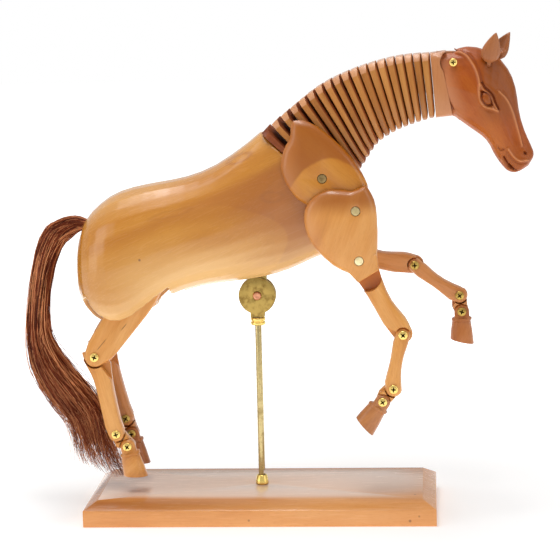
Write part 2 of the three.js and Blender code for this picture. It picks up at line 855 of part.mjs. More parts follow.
// Half-lap joints. A limb hangs from the origin along -Z with its middle plane at y = 0.
// How far an outline reaches past the level of a pivot, as an angle, outside a given radius
function reachPast(outline, pivotZ, radius, upward, front) {
  const finest = 6;
  const range = 22;
  let best = -90;
  for (let i = 0; i < outline.length; i += 1) {
    const a = outline[i];
    const b = outline[(i + 1) % outline.length];
    for (let k = 0; k < finest; k += 1) {
      const x = (a[0] + (b[0] - a[0]) * k / finest) * (front ? 1 : -1);
      const z = (a[1] + (b[1] - a[1]) * k / finest - pivotZ) * (upward ? 1 : -1);
      const distance = Math.hypot(x, z);
      if (x > 0 && distance > radius && distance < range) {
        best = Math.max(best, degrees(Math.atan2(z, x)));
      }
    }
  }
  return best;
}

// Waste of the upper piece: what is below the round and below its two shoulders
function wasteBelow(pivotZ, radius, front, rear) {
  const far = 26;
  return [
    ...arc(0, pivotZ, radius, front, 180 - rear, 10),
    along(180 - rear, far, [0, pivotZ]),
    [-far, pivotZ - far], [far, pivotZ - far],
    along(front, far, [0, pivotZ]),
  ];
}

function wasteAbove(radius, front, rear) {
  const far = 26;
  return [
    ...arc(0, 0, radius, -front, rear - 180, 10),
    along(rear - 180, far),
    [-far, far], [far, far],
    along(-front, far),
  ];
}

// Both wastes of a lap between an upper and a lower outline, from the angles it has to bend
function lapWaste(upper, upperZ, upperRadius, lower, lowerRadius, bend) {
  const upperWasteRadius = lowerRadius + lapSwingGap;
  const lowerWasteRadius = upperRadius + lapSwingGap;
  const shoulders = (outline, z, radius, upward) => [
    Math.max(0, reachPast(outline, z, radius, upward, true) + bend[1] + shoulderMargin),
    Math.max(0, reachPast(outline, z, radius, upward, false) - bend[0] + shoulderMargin),
  ];
  const [upperFront, upperRear] = shoulders(lower, 0, upperWasteRadius, true);
  const [lowerFront, lowerRear] = shoulders(upper, upperZ, lowerWasteRadius, false);
  return {
    upper: wasteBelow(upperZ, upperWasteRadius, upperFront, upperRear),
    lower: wasteAbove(lowerWasteRadius, lowerFront, lowerRear),
  };
}

function outerHalf(outline) {
  return plate(outline, -20, lapGap / 2);
}

function innerHalf(outline) {
  return plate(outline, -lapGap / 2, 20);
}

// Screw of a lap: its thread is fast in the inner piece, the outer piece turns on it
function legScrew(z, outerFace) {
  const seat = outerFace + 0.2;
  return [
    bar(legScrewDiameter / 2, -seat - 0.4, legScrewHold, 0, z, 10),
    bar(legScrewHeadDiameter / 2, -seat - legScrewHeadHeight, -seat, 0, z, 14),
  ];
}

function screwHole(z) {
  return bar(legScrewDiameter / 2 + pinGap, -20, 1, 0, z, 12);
}

// Thickness changes evenly from the top of a limb to its lower pivot
function tapered(geometry, fromShare, toShare, length) {
  const position = geometry.attributes.position;
  for (let i = 0; i < position.count; i += 1) {
    const t = THREE.MathUtils.clamp(-position.getZ(i) / length, 0, 1);
    position.setY(i, position.getY(i) * (fromShare + (toShare - fromShare) * t));
  }
  return geometry;
}

function limb(outline, thickness, edge) {
  return plate(outline, -thickness / 2, thickness / 2, edge);
}

function withBars(solid, ...bars) {
  return bars.flat().reduce((a, b) => a.add(toSolid(b)), solid);
}

const forearmOutline = [
  ...arc(0, 0, elbowTongueRadius, 10, 170, 8),
  ...smooth([[-7.5, -5], [-7.3, -12], [-6.7, -19], [-6.7, -32], [-6.9, -42], [-6.3, -47.5]], 7),
  ...arc(0, -forearmLength, kneeInnerRadius, 190, 350, 8),
  ...smooth([[6.2, -47.5], [6.1, -43], [4.5, -34], [4.3, -29], [5.5, -18], [7.2, -11], [7.6, -5]], 7),
];
const foreCannonOutline = [
  ...arc(0, 0, kneeOuterRadius, 0, 180, 8),
  ...smooth([[-5.2, -5.5], [-5, -13], [-5, -19], [-5.5, -25], [-6, -30]], 5),
  ...arc(0, -foreCannonLength, fetlockOuterRadius, 185, 355, 8),
  ...smooth([[4.4, -31.5], [3.1, -25], [2.5, -17.7], [2.9, -12], [3.9, -5.5]], 5),
];
const pasternOutline = [
  ...arc(0, 0, fetlockInnerRadius, 10, 170, 6),
  [-5.3, -4], [-5.6, -7],
  ...arc(0, -pasternLength, coffinInnerRadius, 190, 350, 6),
  [4.1, -7], [4.2, -4],
];
const thighOutline = [
  ...arc(0, 0, hipRadius, -5, 185, 14),
  ...smooth([[-11.6, -12], [-9.8, -24], [-9.2, -34.5], [-8.7, -46], [-8.2, -52]], 5),
  ...arc(0, -thighLength, hockOuterRadius, 190, 350, 8),
  ...smooth([[9.2, -52.5], [10.2, -46], [11.2, -34.4], [12.6, -20], [13, -9]], 5),
];
const hindCannonOutline = [
  ...arc(0, 0, hockInnerRadius, 5, 138, 7),
  [-7.6, 3.9], [-7.5, -0.5],
  ...smooth([[-6.4, -5], [-4.9, -12], [-4.7, -19], [-5.1, -31], [-5.8, -44]], 6),
  ...arc(0, -hindCannonLength, fetlockOuterRadius, 180, 360, 8),
  ...smooth([[4.6, -42], [5.2, -28], [6.3, -15.5], [7.8, -6.5]], 5),
];
const hoofTongueOutline = [
  ...arc(0, 0, coffinOuterRadius, 0, 180, 10), [-coffinOuterRadius, -7], [coffinOuterRadius, -7],
];
const hoofUpperOutline = [
  ...arc(0, 0, coffinOuterRadius, 0, 180, 10),
  [-coronetRadius, 0.8 - coronetDistance], [-coronetRadius, -12],
  [coronetRadius, -12], [coronetRadius, 0.8 - coronetDistance],
];

const kneeWaste = lapWaste(
  forearmOutline, -forearmLength, kneeInnerRadius, foreCannonOutline, kneeOuterRadius, kneeBend);
const foreFetlockWaste = lapWaste(
  foreCannonOutline, -foreCannonLength, fetlockOuterRadius,
  pasternOutline, fetlockInnerRadius, fetlockBend);
const hindFetlockWaste = lapWaste(
  hindCannonOutline, -hindCannonLength, fetlockOuterRadius,
  pasternOutline, fetlockInnerRadius, fetlockBend);
const hockWaste = lapWaste(
  thighOutline, -thighLength, hockOuterRadius, hindCannonOutline, hockInnerRadius, hockBend);
const coffinWaste = lapWaste(
  pasternOutline, -pasternLength, coffinInnerRadius, hoofUpperOutline, coffinOuterRadius, coffinBend);

// Forearm: a tongue at the elbow on the side of the horse, a lap at the knee
function forearm(side) {
  const body = tapered(limb(forearmOutline, forearmThickness, 2.4), 1, 0.86, forearmLength);
  const recessCentre = elbowRecessRadius - elbowRecessDepth;
  const recessOutline = [
    ...arc(-1, recessCentre, elbowRecessRadius, 200, 340, 10),
    [20, -10], [20, 20], [-20, 20], [-20, -10],
  ];
  const lapFace = scapulaInnerY + scapulaThickness - foreLegY;
  const recess = side > 0
    ? plate(recessOutline, lapFace, 20)
    : plate(recessOutline, -20, -lapFace);
  const elbowHole = bar(platePinDiameter / 2 + pinGap, -20, 20, 0, 0, 20);
  const carved = cut(toSolid(body), recess, elbowHole, outerHalf(kneeWaste.upper));
  return withBars(carved, legScrew(-forearmLength, cannonThickness / 2));
}

function foreCannon() {
  const body = limb(foreCannonOutline, cannonThickness, 2.4);
  return cut(
    toSolid(body), innerHalf(kneeWaste.lower), screwHole(0),
    innerHalf(foreFetlockWaste.upper), screwHole(-foreCannonLength));
}

function hindCannon() {
  const body = limb(hindCannonOutline, cannonThickness, 2.4);
  const carved = cut(
    toSolid(body), outerHalf(hockWaste.lower),
    innerHalf(hindFetlockWaste.upper), screwHole(-hindCannonLength));
  return withBars(carved, legScrew(0, thighThickness / 2));
}

function thigh() {
  const body = limb(thighOutline, thighThickness, 2.2);
  const hipHole = bar(hipPinDiameter / 2 + pinGap, -20, 20, 0, 0, 20);
  return cut(toSolid(body), hipHole, innerHalf(hockWaste.upper), screwHole(-thighLength));
}

function pastern(fetlockWaste) {
  const body = limb(pasternOutline, pasternThickness, 2);
  const carved = cut(toSolid(body), outerHalf(fetlockWaste.lower), outerHalf(coffinWaste.upper));
  return withBars(
    carved, legScrew(0, cannonThickness / 2), legScrew(-pasternLength, pasternThickness / 2));
}

// Hoof: a cone with a ring round its top and a tilted sole, and a round tongue on the outer half
function hoof() {
  const ringTop = -coronetDistance;
  const deepest = -hoofSoleDistance - 3;
  const profile = [
    [coronetRadius - 1.2, ringTop + 1.3], [coronetRadius - 0.1, ringTop + 0.7],
    [coronetRadius - 0.1, ringTop - 0.6], [hoofTopRadius - 0.1, ringTop - 1],
    [(hoofTopRadius + hoofSoleRadius) / 2, -hoofSoleDistance * 0.66],
    [hoofSoleRadius, deepest],
  ];
  const rings = profile.map(([radius, z], k) => {
    const shift = -0.8 * k / (profile.length - 1);
    const ring = [];
    for (let i = 0; i < 18; i += 1) {
      const angle = -i / 18 * Math.PI * 2;
      ring.push([radius * Math.cos(angle) + shift, radius * hoofWidthShare * Math.sin(angle), z]);
    }
    return ring;
  });
  const cone = loft(rings, [0, 0, ringTop + 1.5], [-0.8, 0, deepest]);
  const slope = Math.tan(radians(hoofSoleTilt));
  const sole = plate([
    [-24, -hoofSoleDistance + 24 * slope], [-24, -40], [24, -40], [24, -hoofSoleDistance - 24 * slope],
  ], -20, 20);
  const tongue = plate(hoofTongueOutline, -pasternThickness / 2, 0, 1.2, 1);
  return cut(
    toSolid(cone).add(toSolid(tongue)), sole, innerHalf(coffinWaste.lower), screwHole(0));
}

// Shoulder blade and upper arm: flat inside, domed outside. y = 0 is the inner face, +y outward
function domed(outline, centre, levels, peak) {
  const rings = levels.map(([scale, y]) => outline.map(([x, z]) => [
    centre[0] + (x - centre[0]) * scale, y, centre[1] + (z - centre[1]) * scale,
  ]));
  return loft(rings, [centre[0], levels[0][1], centre[1]], [centre[0], peak, centre[1]]);
}

const armX = shoulderLength * Math.sin(radians(shoulderDirection));
const armZ = -shoulderLength * Math.cos(radians(shoulderDirection));
const elbowX = humerusLength * Math.sin(radians(humerusDirection));
const elbowZ = -humerusLength * Math.cos(radians(humerusDirection));

const scapulaOutline = [
  ...smooth([
    [26.8, -4.2], [24.3, 1.6], [19.3, 9.5], [11.7, 18.6], [2.2, 27.2], [-5.4, 32.5],
    [-11.7, 34.8], [-16.9, 34.3],
  ], 12),
  ...smooth([
    [-18.3, 30.8], [-18.9, 24.3], [-21.8, 19.2], [-23.9, 13.4], [-24.7, 6.3], [-22.9, -0.9],
    [-19.1, -7.4], [-14.8, -12.7], [-8.6, -16.6],
  ], 13),
  ...arc(armX, armZ, 9, 238, 370, 9),
];
const humerusOutline = [
  ...smooth([
    [6.2, 14.9], [1.4, 12.8], [-1.9, 11.6], [-6.4, 12], [-11.5, 12.5], [-16.7, 12.4],
    [-21.6, 10.4], [-26.9, 6.4], [-30, 1.2], [-30.9, -5], [-30.1, -11], [-27, -18.8], [-21.4, -26.1],
    [-12.4, -34.1], [-4.1, -38],
  ], 24),
  ...smooth([
    [2, -39], [8, -36.4], [11.6, -31], [12.7, -20.6], [12.6, -5], [11.5, 4.7], [9, 10.6], [6.9, 14],
  ], 12),
];
const humerusBlockOutline = [
  [11.9, -26], [-8, -28], [-7.4, -34], [0.8, -43.2], [13.1, -35.8],
];

// A piece drawn for the far side, set down on either side: -1 is near, +1 is far
function onSide(geometry, side, inner) {
  if (side > 0) {
    return geometry.translate(0, inner, 0);
  }
  const mirrored = geometry.scale(1, -1, 1).translate(0, -inner, 0);
  const index = mirrored.index.array;
  for (let i = 0; i < index.length; i += 3) {
    [index[i + 1], index[i + 2]] = [index[i + 2], index[i + 1]];
  }
  return mirrored;
}

function plateHole(side, x, z) {
  const low = side > 0 ? 15 : -40;
  return bar(platePinDiameter / 2 + pinGap, low, low + 25, x, z, 20);
}

function scapula(side) {
  const t = scapulaThickness;
  const levels = [
    [1, 0], [1, t * 0.3], [0.95, t * 0.62], [0.86, t * 0.86], [0.7, t],
  ];
  const skin = domed([...scapulaOutline].reverse(), [0, 2], levels, t);
  return cut(
    toSolid(onSide(skin, side, scapulaInnerY)), plateHole(side, 0, 0), plateHole(side, armX, armZ));
}

const armInnerY = scapulaInnerY + scapulaThickness + seatGap;

function humerus(side) {
  const t = humerusThickness;
  const levels = [
    [1, 0], [1, t * 0.3], [0.96, t * 0.55], [0.87, t * 0.78], [0.64, t * 0.95],
  ];
  const skin = domed([...humerusOutline].reverse(), [-7, -10], levels, t);
  const low = side > 0 ? armInnerY : -armInnerY - humerusBlockThickness;
  const lower = plate(humerusBlockOutline, low, low + humerusBlockThickness, 0.5, 1);
  const solid = toSolid(onSide(skin, side, armInnerY)).add(toSolid(lower));
  return cut(solid, plateHole(side, 0, 0), plateHole(side, elbowX, elbowZ));
}

function platePin(side, inner, outer) {
  const low = side > 0 ? inner : -outer;
  const high = side > 0 ? outer : -inner;
  return toSolid(bar(platePinDiameter / 2, low, high, 0, 0, 20));
}

// Tail: a lock of hair on a peg, fluted along its length and drawn out to a point
const tailOuter = [
  [-107, 183.2], [-115.9, 183.6], [-127, 178.6], [-133.6, 170.6], [-138.4, 155], [-141.6, 140],
  [-144, 119.3], [-143.7, 100.6], [-139.7, 84.1], [-130.6, 67.4], [-122, 54.8], [-116.6, 40],
  [-110, 27], [-99.4, 17.6],
];
const tailInner = [
  [-106.6, 177], [-113.2, 172.6], [-120.1, 166.4], [-124, 160.4], [-127.4, 150.6], [-129.8, 138],
  [-131.4, 119.1], [-128.4, 104.4], [-118.6, 89.8], [-108, 76.4], [-101.2, 64], [-99.4, 48],
  [-97.6, 32], [-93.6, 18.6],
];

function tailLock() {
  const outer = smooth(tailOuter, 19);
  const inner = smooth(tailInner, 19);
  const rings = outer.slice(0, -1).map(([ox, oz], k) => {
    const [ix, iz] = inner[k];
    const t = k / (outer.length - 1);
    const depth = 3 + 4.6 * Math.sin(Math.PI * Math.min(1, t * 0.9 + 0.08)) ** 0.7;
    const middleY = -8.5 * THREE.MathUtils.smoothstep(t, 0.62, 1);
    const half = [(ix - ox) / 2, (iz - oz) / 2];
    const ring = [];
    for (let i = 0; i < 16; i += 1) {
      const angle = i / 16 * Math.PI * 2;
      const flute = 1 - 0.06 * (i % 2);
      const c = Math.cos(angle) * flute;
      ring.push([
        (ox + ix) / 2 + half[0] * c,
        middleY - depth * Math.sin(angle) * flute,
        (oz + iz) / 2 + half[1] * c,
      ]);
    }
    return ring;
  });
  return loft(rings, [-105.8, 0, 180], [-96, -8.6, 17]);
}

function tailPeg(extra) {
  const radius = tailPegDiameter / 2 + extra;
  const peg = new THREE.CylinderGeometry(radius, radius, tailPegLength + 3 + extra, 16);
  peg.rotateZ(Math.PI / 2);
  peg.translate((tailPegLength + extra) / 2 - 1.5, 0, 0);
  peg.rotateY(radians(tailPegTilt));
  return peg.translate(tailRootX, 0, tailRootZ);
}

function tail() {
  return cut(toSolid(tailLock()), torsoSkin(tailSeatGap)).add(toSolid(tailPeg(0)));
}

// Everything cut into the torso
function hipSlot(side) {
  const centre = side * hindLegY;
  const half = thighThickness / 2 + hipSlotGap;
  const radius = 13.6 + swingGap;
  const [back, front] = [hipSwing[0] - shoulderMargin, hipSwing[1] + shoulderMargin];
  const outline = [
    ...arc(hipX, hipZ, radius, front, 180 + back, 18),
    along(back - 90, 70, along(180 + back, radius, [hipX, hipZ])),
    along(front - 90, 70, along(front, radius, [hipX, hipZ])),
  ];
  return plate(outline, centre - half, centre + half);
}

function hipPin(side) {
  const reach = thighThickness / 2 + hipSlotGap + 0.4;
  return bar(
    hipPinDiameter / 2, side * hindLegY - reach, side * hindLegY + reach, hipX, hipZ, 20);
}

// Two flat cheeks stand up beside the first neck leaves and carry the shoulder pins
const witherInner = shoulderHalfWidth - witherPlateThickness;

function witherPlate(side) {
  const outline = [
    ...arc(shoulderX, shoulderZ, witherPlateRadius, -20, 160, 14), [30, 196], [46, 186],
  ];
  const low = side > 0 ? witherInner : -shoulderHalfWidth;
  return plate(outline, low, low + witherPlateThickness);
}

function shoulderSocket(side) {
  const low = side > 0 ? witherInner - 1 : -shoulderHalfWidth - 6;
  return bar(platePinDiameter / 2 + pinGap, low, low + 10, shoulderX, shoulderZ, 20);
}

function torso() {
  const lugPocket = block(
    rodX - lugStemWidth / 2 - seatGap, rodX + lugStemWidth / 2 + seatGap,
    -lugHalf - seatGap, lugHalf + seatGap, 130, lugStemTop + seatGap);
  const cheekRound = bar(
    cheekDiameter / 2 + swingGap, -cheekOuter - 0.5, cheekOuter + 0.5, rodX, drawnHingeHeight, 36);
  const seated = withBars(cut(toSolid(torsoSkin(0)), neckSeatCut()), witherPlate(1), witherPlate(-1));
  const body = cut(
    seated, lugPocket, cheekRound,
    hipSlot(1), hipSlot(-1), shoulderSocket(1), shoulderSocket(-1), tailPeg(pinGap));
  return withBars(body, hipPin(1), hipPin(-1));
}

// Limbs hang from each other in nested groups
function hang(parent, x, y, z, turn) {
  const group = new THREE.Group();
  group.position.set(x, y, z);
  group.rotation.y = -radians(turn);
  parent.add(group);
  return group;
}

const horse = new THREE.Group();
const body = new THREE.Group();
body.position.z = hingeHeight - drawnHingeHeight;
horse.add(body);
horse.add(node('base_board', baseBoard(), boardWood));
horse.add(node('base_ferrule', baseFerrule(), brass));
horse.add(node('support_rod', supportRod(), brass));
horse.add(node('hinge_collar', hingeCollar(), brass));
horse.add(node('hinge_cheek_near', hingeCheek(-1), brass));
horse.add(node('hinge_cheek_far', hingeCheek(1), brass));
horse.add(node('hinge_rivet', hingeRivet(), brass));
body.add(node('belly_lug', bellyLug(), brass));
body.add(node('torso', torso(), wood));
body.add(node('tail', tail(), hair));

for (let i = 0; i < neckLeafCount; i += 1) {
  const name = i === 0 ? 'neck_cap' : `neck_leaf_${String(i).padStart(2, '0')}`;
  const leaf = node(name, neckLeaf(i), i === 0 ? redWood : wood);
  const place = leafPlace(i);
  leaf.position.set((place.top.x + place.bottom.x) / 2, 0, (place.top.y + place.bottom.y) / 2);
  leaf.rotation.y = -radians(place.tilt);
  body.add(leaf);
}

body.add(node('poll_block', pollBlock(), wood));
body.add(node('head', headBody(), redWood));
body.add(node('ear_near', earBody(-1), redWood));
body.add(node('ear_far', earBody(1), redWood));
body.add(node('poll_screw', pollScrew(), brass));

[['near', -1], ['far', 1]].forEach(([label, side]) => {
  const rest = restPose[label];
  const finish = side < 0 ? wood : redWood;
  const plateOuter = scapulaInnerY + scapulaThickness;
  const scapulaGroup = hang(body, shoulderX, 0, shoulderZ, rest.scapula);
  scapulaGroup.add(node(`scapula_${label}`, scapula(side), finish));
  scapulaGroup.add(node(
    `shoulder_pin_${label}`,
    platePin(side, witherInner + 0.1, plateOuter + 0.1), pinMetal));
  const armGroup = hang(scapulaGroup, armX, 0, armZ, rest.arm - rest.scapula);
  armGroup.add(node(`humerus_${label}`, humerus(side), finish));
  armGroup.add(node(
    `arm_pin_${label}`, platePin(side, scapulaInnerY + 0.3, armInnerY + humerusThickness), pinMetal));
  const elbowGroup = hang(armGroup, elbowX, 0, elbowZ, 0);
  elbowGroup.add(node(
    `elbow_pin_${label}`,
    platePin(side, scapulaInnerY + 0.4, armInnerY + humerusThickness * 0.9), pinMetal));
  const forearmGroup = hang(armGroup, elbowX, side * foreLegY, elbowZ, rest.forearm - rest.arm);
  forearmGroup.add(node(`forearm_${label}`, forearm(side), finish));
  const cannonGroup = hang(forearmGroup, 0, 0, -forearmLength, rest.foreCannon - rest.forearm);
  cannonGroup.add(node(`fore_cannon_${label}`, foreCannon(), finish));
  const pasternGroup = hang(cannonGroup, 0, 0, -foreCannonLength, rest.forePastern - rest.foreCannon);
  pasternGroup.add(node(`fore_pastern_${label}`, pastern(foreFetlockWaste), finish));
  const hoofGroup = hang(pasternGroup, 0, 0, -pasternLength, rest.foreHoof - rest.forePastern);
  hoofGroup.add(node(`fore_hoof_${label}`, hoof(), finish));

  const thighGroup = hang(body, hipX, side * hindLegY, hipZ, rest.thigh);
  thighGroup.add(node(`thigh_${label}`, thigh(), finish));
  const shankGroup = hang(thighGroup, 0, 0, -thighLength, rest.hindCannon - rest.thigh);
  shankGroup.add(node(`hind_cannon_${label}`, hindCannon(), finish));
  const ankleGroup = hang(shankGroup, 0, 0, -hindCannonLength, rest.hindPastern - rest.hindCannon);
  ankleGroup.add(node(`hind_pastern_${label}`, pastern(hindFetlockWaste), finish));
  const footGroup = hang(ankleGroup, 0, 0, -pasternLength, rest.hindHoof - rest.hindPastern);
  footGroup.add(node(`hind_hoof_${label}`, hoof(), finish));
});

export default horse;
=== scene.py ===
"""The looks of the jointed wooden horse: lacquered wood, brass fittings, a carved head and a tail of combed hair.

Tables are in millimetres and degrees, shaders and meshes in metres, unless a comment says otherwise.
"""

import json
import math

import bmesh
import bpy
import numpy as np
from mathutils import Matrix, Vector
from mathutils.bvhtree import BVHTree


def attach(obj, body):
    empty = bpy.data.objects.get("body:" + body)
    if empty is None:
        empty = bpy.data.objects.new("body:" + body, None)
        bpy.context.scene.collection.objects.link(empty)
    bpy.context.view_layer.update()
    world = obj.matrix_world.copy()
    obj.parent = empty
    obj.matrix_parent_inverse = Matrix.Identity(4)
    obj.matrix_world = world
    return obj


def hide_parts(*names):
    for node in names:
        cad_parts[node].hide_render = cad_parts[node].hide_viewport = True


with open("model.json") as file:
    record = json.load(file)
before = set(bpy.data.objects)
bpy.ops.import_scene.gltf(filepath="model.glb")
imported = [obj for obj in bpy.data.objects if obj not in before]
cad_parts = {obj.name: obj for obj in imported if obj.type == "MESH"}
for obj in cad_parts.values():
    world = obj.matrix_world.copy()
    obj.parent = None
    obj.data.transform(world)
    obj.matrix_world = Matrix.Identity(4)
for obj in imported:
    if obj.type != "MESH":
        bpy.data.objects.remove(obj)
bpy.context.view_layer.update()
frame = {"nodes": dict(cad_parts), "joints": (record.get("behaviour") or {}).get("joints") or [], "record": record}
nodes = frame["nodes"]
record = frame["record"]
body_of = {node: body for body, members in record["behaviour"]["bodies"].items() for node in members}
joint_at = {joint["name"]: Vector(joint["pos_m"]) for joint in frame["joints"]}
MM = 0.001

# The photograph's camera.
CAMERA_PLACE = (106.6, -1264.0, 349.1)
CAMERA_YAW = -4.24
CAMERA_PITCH = 9.23
CAMERA_ROLL = -1.36
CAMERA_FIELD = 15.22

# The lights, in metres and watts: name, place, target, width, height, power.
LIGHTS = [
    ("top_light", (-0.1, -0.15, 1.5), (0.03, 0, 0.15), 1.5, 1.1, 10),
    ("strip_light", (-0.15, -0.05, 1.4), (0.0, 0, 0.15), 1.1, 0.3, 8),
    ("left_light", (-1.3, -0.7, 0.6), (0.0, 0, 0.15), 0.7, 1.2, 5),
    ("right_light", (1.3, -0.6, 0.6), (0.05, 0, 0.15), 0.7, 1.0, 3.5),
]
# The white world's brightness to the camera and as light, and the share of it that gloss sees.
WORLD_SEEN = 1.0
WORLD_LIGHT = 0.15
WORLD_IN_GLOSS = 0.62
FLOOR_WHITE = 0.80
# The floor's glow to the camera: between which distances in metres it grows, and its strength there.
FLOOR_GLOW = (0.12, 0.6, 0.30, 1.0)

# The dark, middle and pale tones of each wood and of the hair, as red, green and blue of 0 to 255.
HONEY = ((158, 88, 10), (191, 123, 34), (218, 155, 66))
BLADE = ((156, 84, 6), (188, 116, 24), (214, 148, 56))
TAN = ((176, 104, 38), (213, 144, 68), (233, 174, 102))
# The far side's wood, painted darker and redder as shade.
FAR_SIDE_SHADED = ((160, 90, 40), (196, 126, 66), (216, 148, 88))
CHEEK = ((130, 54, 4), (162, 76, 12), (186, 102, 30))
EAR = ((126, 70, 32), (160, 96, 54), (180, 116, 72))
LEAF = ((142, 82, 24), (170, 106, 42), (192, 130, 64))
LEAF_PALE = ((152, 90, 30), (182, 116, 50), (204, 142, 74))
LEAF_FACE = ((150, 84, 34), (174, 104, 48), (192, 120, 60))
# Painted shade on the faces of the first leaves and the slab towards each other.
LEAF_SHADE = ((98, 44, 10), (128, 60, 18), (150, 78, 28))
HOOF = ((150, 88, 44), (186, 122, 70), (208, 146, 94))
# The far hooves, painted darker as shade.
FAR_HOOF_SHADED = ((142, 76, 28), (176, 104, 46), (196, 124, 66))
POLL = ((152, 88, 42), (184, 118, 68), (202, 140, 90))
# The neck's first slab, painted dark as shade.
SLAB_SHADE = ((92, 36, 6), (128, 58, 12), (156, 80, 24))
BOARD = ((186, 110, 50), (220, 150, 84), (234, 174, 112))
HAIR = ((74, 22, 4), (138, 58, 20), (232, 154, 102))

# Single colours that are laid over the wood.
# Knots and stains, and a spot of painted shade in the notch at the near knee.
KNOT_AND_SHADE = (92, 44, 18)
GRAIN_LINE = (124, 70, 26)
# Painted shadow round the screw heads.
SCREW_SHADOW = (112, 60, 18)
# Painted shade in the carved cuts of the head, and a painted highlight on its carved crests.
CARVED_SHADE = (104, 36, 8)
CARVED_HIGHLIGHT = (222, 150, 98)
# A painted highlight along the leaves' crests.
CREST_HIGHLIGHT = (216, 158, 118)
# Painted shade on the board's front chamfer, and a painted highlight on its top.
CHAMFER_SHADE = (150, 84, 40)
BOARD_TOP_HIGHLIGHT = (248, 224, 206)
CHEST = (164, 92, 22)
# On the barrel: painted shade in a band across the upper flank, painted light from below in the pale oval of the
# lower flank, and a painted highlight along the back.
FLANK_SHADE = (168, 96, 34)
FLANK_BOUNCE_LIGHT = (232, 180, 104)
BACK_HIGHLIGHT = (224, 174, 104)
GROWTH_RING = (148, 84, 34)
# Painted light from below on the belly.
BELLY_BOUNCE_LIGHT = (244, 204, 142)
# Painted shade on the floor of the notch under the elbow.
NOTCH_SHADE = (186, 104, 26)
# Painted shade over the top of the shoulder plates, and a painted highlight on their rear rims.
BLADE_TOP_SHADE = (148, 74, 0)
BLADE_REAR_HIGHLIGHT = (202, 130, 72)
# Painted shade over the forehead.
BROW_SHADE = (138, 70, 12)
MUZZLE = (148, 74, 16)
# A painted highlight on the cheek next to the neck.
CHEEK_HIGHLIGHT = (194, 128, 88)
POLL_FRONT = (186, 118, 72)

# How often the grain changes in a metre, along it and across it.
CLOUDS = (9, 26)
FIGURE = (14, 120)
STREAKS = (60, 900)
PORES = (260, 3600)
GROWTH = 42.0

# How far edges look rounded on wood and on metal.
WOOD_EDGE = 0.5
METAL_EDGE = 0.25
# Edges sharper than this stay sharp.
CREASE = 38.0
SCREW_CREASE = 30.0
# Corners this near each other, in metres, become one: before and after edges are rounded.
WELD = 2e-6
SLIVER = 1e-6
# How squarely an inner face looks along its direction, or away from it.
INNER_AHEAD = 0.72
INNER_BEHIND = 0.9


def linear(rgb):
    """A colour of 0 to 255 on a screen as linear light."""
    shares = [c / 255 for c in rgb]
    return (*(c / 12.92 if c <= 0.04045 else ((c + 0.055) / 1.055) ** 2.4 for c in shares), 1.0)


def metres(*spot):
    return tuple(c * MM for c in spot)


def tilted(lean):
    """The direction that points lean degrees above straight ahead."""
    return Vector((math.cos(math.radians(lean)), 0, math.sin(math.radians(lean))))


def along(line, share):
    """The point at a share of 0 to 1 of a smooth curve through the points of line, or such a number of a row."""
    spot = min(max(share, 0.0), 1.0) * (len(line) - 1)
    low = min(int(spot), len(line) - 2)
    rest = spot - low
    before, after = line[max(low - 1, 0)], line[min(low + 2, len(line) - 1)]
    a, b = np.array(line[low], float), np.array(line[low + 1], float)
    m0 = (b - np.array(before, float)) / 2
    m1 = (np.array(after, float) - a) / 2
    r2, r3 = rest * rest, rest ** 3
    return (2 * r3 - 3 * r2 + 1) * a + (r3 - 2 * r2 + rest) * m0 + (3 * r2 - 2 * r3) * b + (r3 - r2) * m1


# ---- shader helpers ----

def put(tree, kind, inputs=None, **settings):
    """A new shader node with its settings, and its inputs set or linked."""
    made = tree.nodes.new("ShaderNode" + kind)
    for key, value in settings.items():
        setattr(made, key, value)
    for key, value in (inputs or {}).items():
        if isinstance(value, bpy.types.NodeSocket):
            tree.links.new(value, made.inputs[key])
        else:
            made.inputs[key].default_value = value
    return made


def maths(tree, operation, a, b=0.0):
    return put(tree, "Math", {0: a, 1: b}, operation=operation).outputs[0]


def minus(tree, a, b):
    return maths(tree, "SUBTRACT", a, b)


def plus(tree, total, *others):
    for other in others:
        total = maths(tree, "ADD", total, other)
    return total


def times(tree, product, *others):
    for other in others:
        product = maths(tree, "MULTIPLY", product, other)
    return product


def vectors(tree, operation, a, b):
    made = put(tree, "VectorMath", {0: a, 1: b}, operation=operation)
    return made.outputs["Value" if operation in ("LENGTH", "DISTANCE", "DOT_PRODUCT") else "Vector"]


def painted(tree, colour, tone, *shares):
    """A colour with a tone laid over it by the product of the shares."""
    share = times(tree, *shares)
    return put(tree, "Mix", {0: share, 6: colour, 7: linear(tone)}, data_type="RGBA").outputs[2]


def ramp(tree, value, stops):
    made = put(tree, "ValToRGB", {0: value})
    band = made.color_ramp
    band.interpolation = "LINEAR"
    while len(band.elements) < len(stops):
        band.elements.new(0.5)
    for element, (place, tone) in zip(band.elements, stops):
        element.position = place
        element.color = linear(tone)
    return made.outputs[0]


def span(tree, value, low, high, out_low=0.0, out_high=1.0):
    """A value that rises smoothly from out_low at low to out_high at high. High may be less than low."""
    return put(tree, "MapRange", {0: value, 1: low, 2: high, 3: out_low, 4: out_high},
               interpolation_type="SMOOTHSTEP").outputs[0]


def noise(tree, place, scale, detail, rough=0.5, bent=0.0):
    """The outputs of a noise: a value and a colour."""
    return put(tree, "TexNoise", {
        "Vector": place, "Scale": scale, "Detail": detail, "Roughness": rough, "Distortion": bent,
    }).outputs


def object_place(tree):
    return put(tree, "TexCoord").outputs["Object"]


def axes(tree, vector):
    """The X, Y and Z of a vector."""
    return tuple(put(tree, "SeparateXYZ", {0: vector}).outputs)


def facing(tree):
    """The X, Y and Z of the surface's normal."""
    return axes(tree, put(tree, "TexCoord").outputs["Normal"])


def attribute(tree, name):
    return put(tree, "Attribute", attribute_name=name).outputs["Fac"]


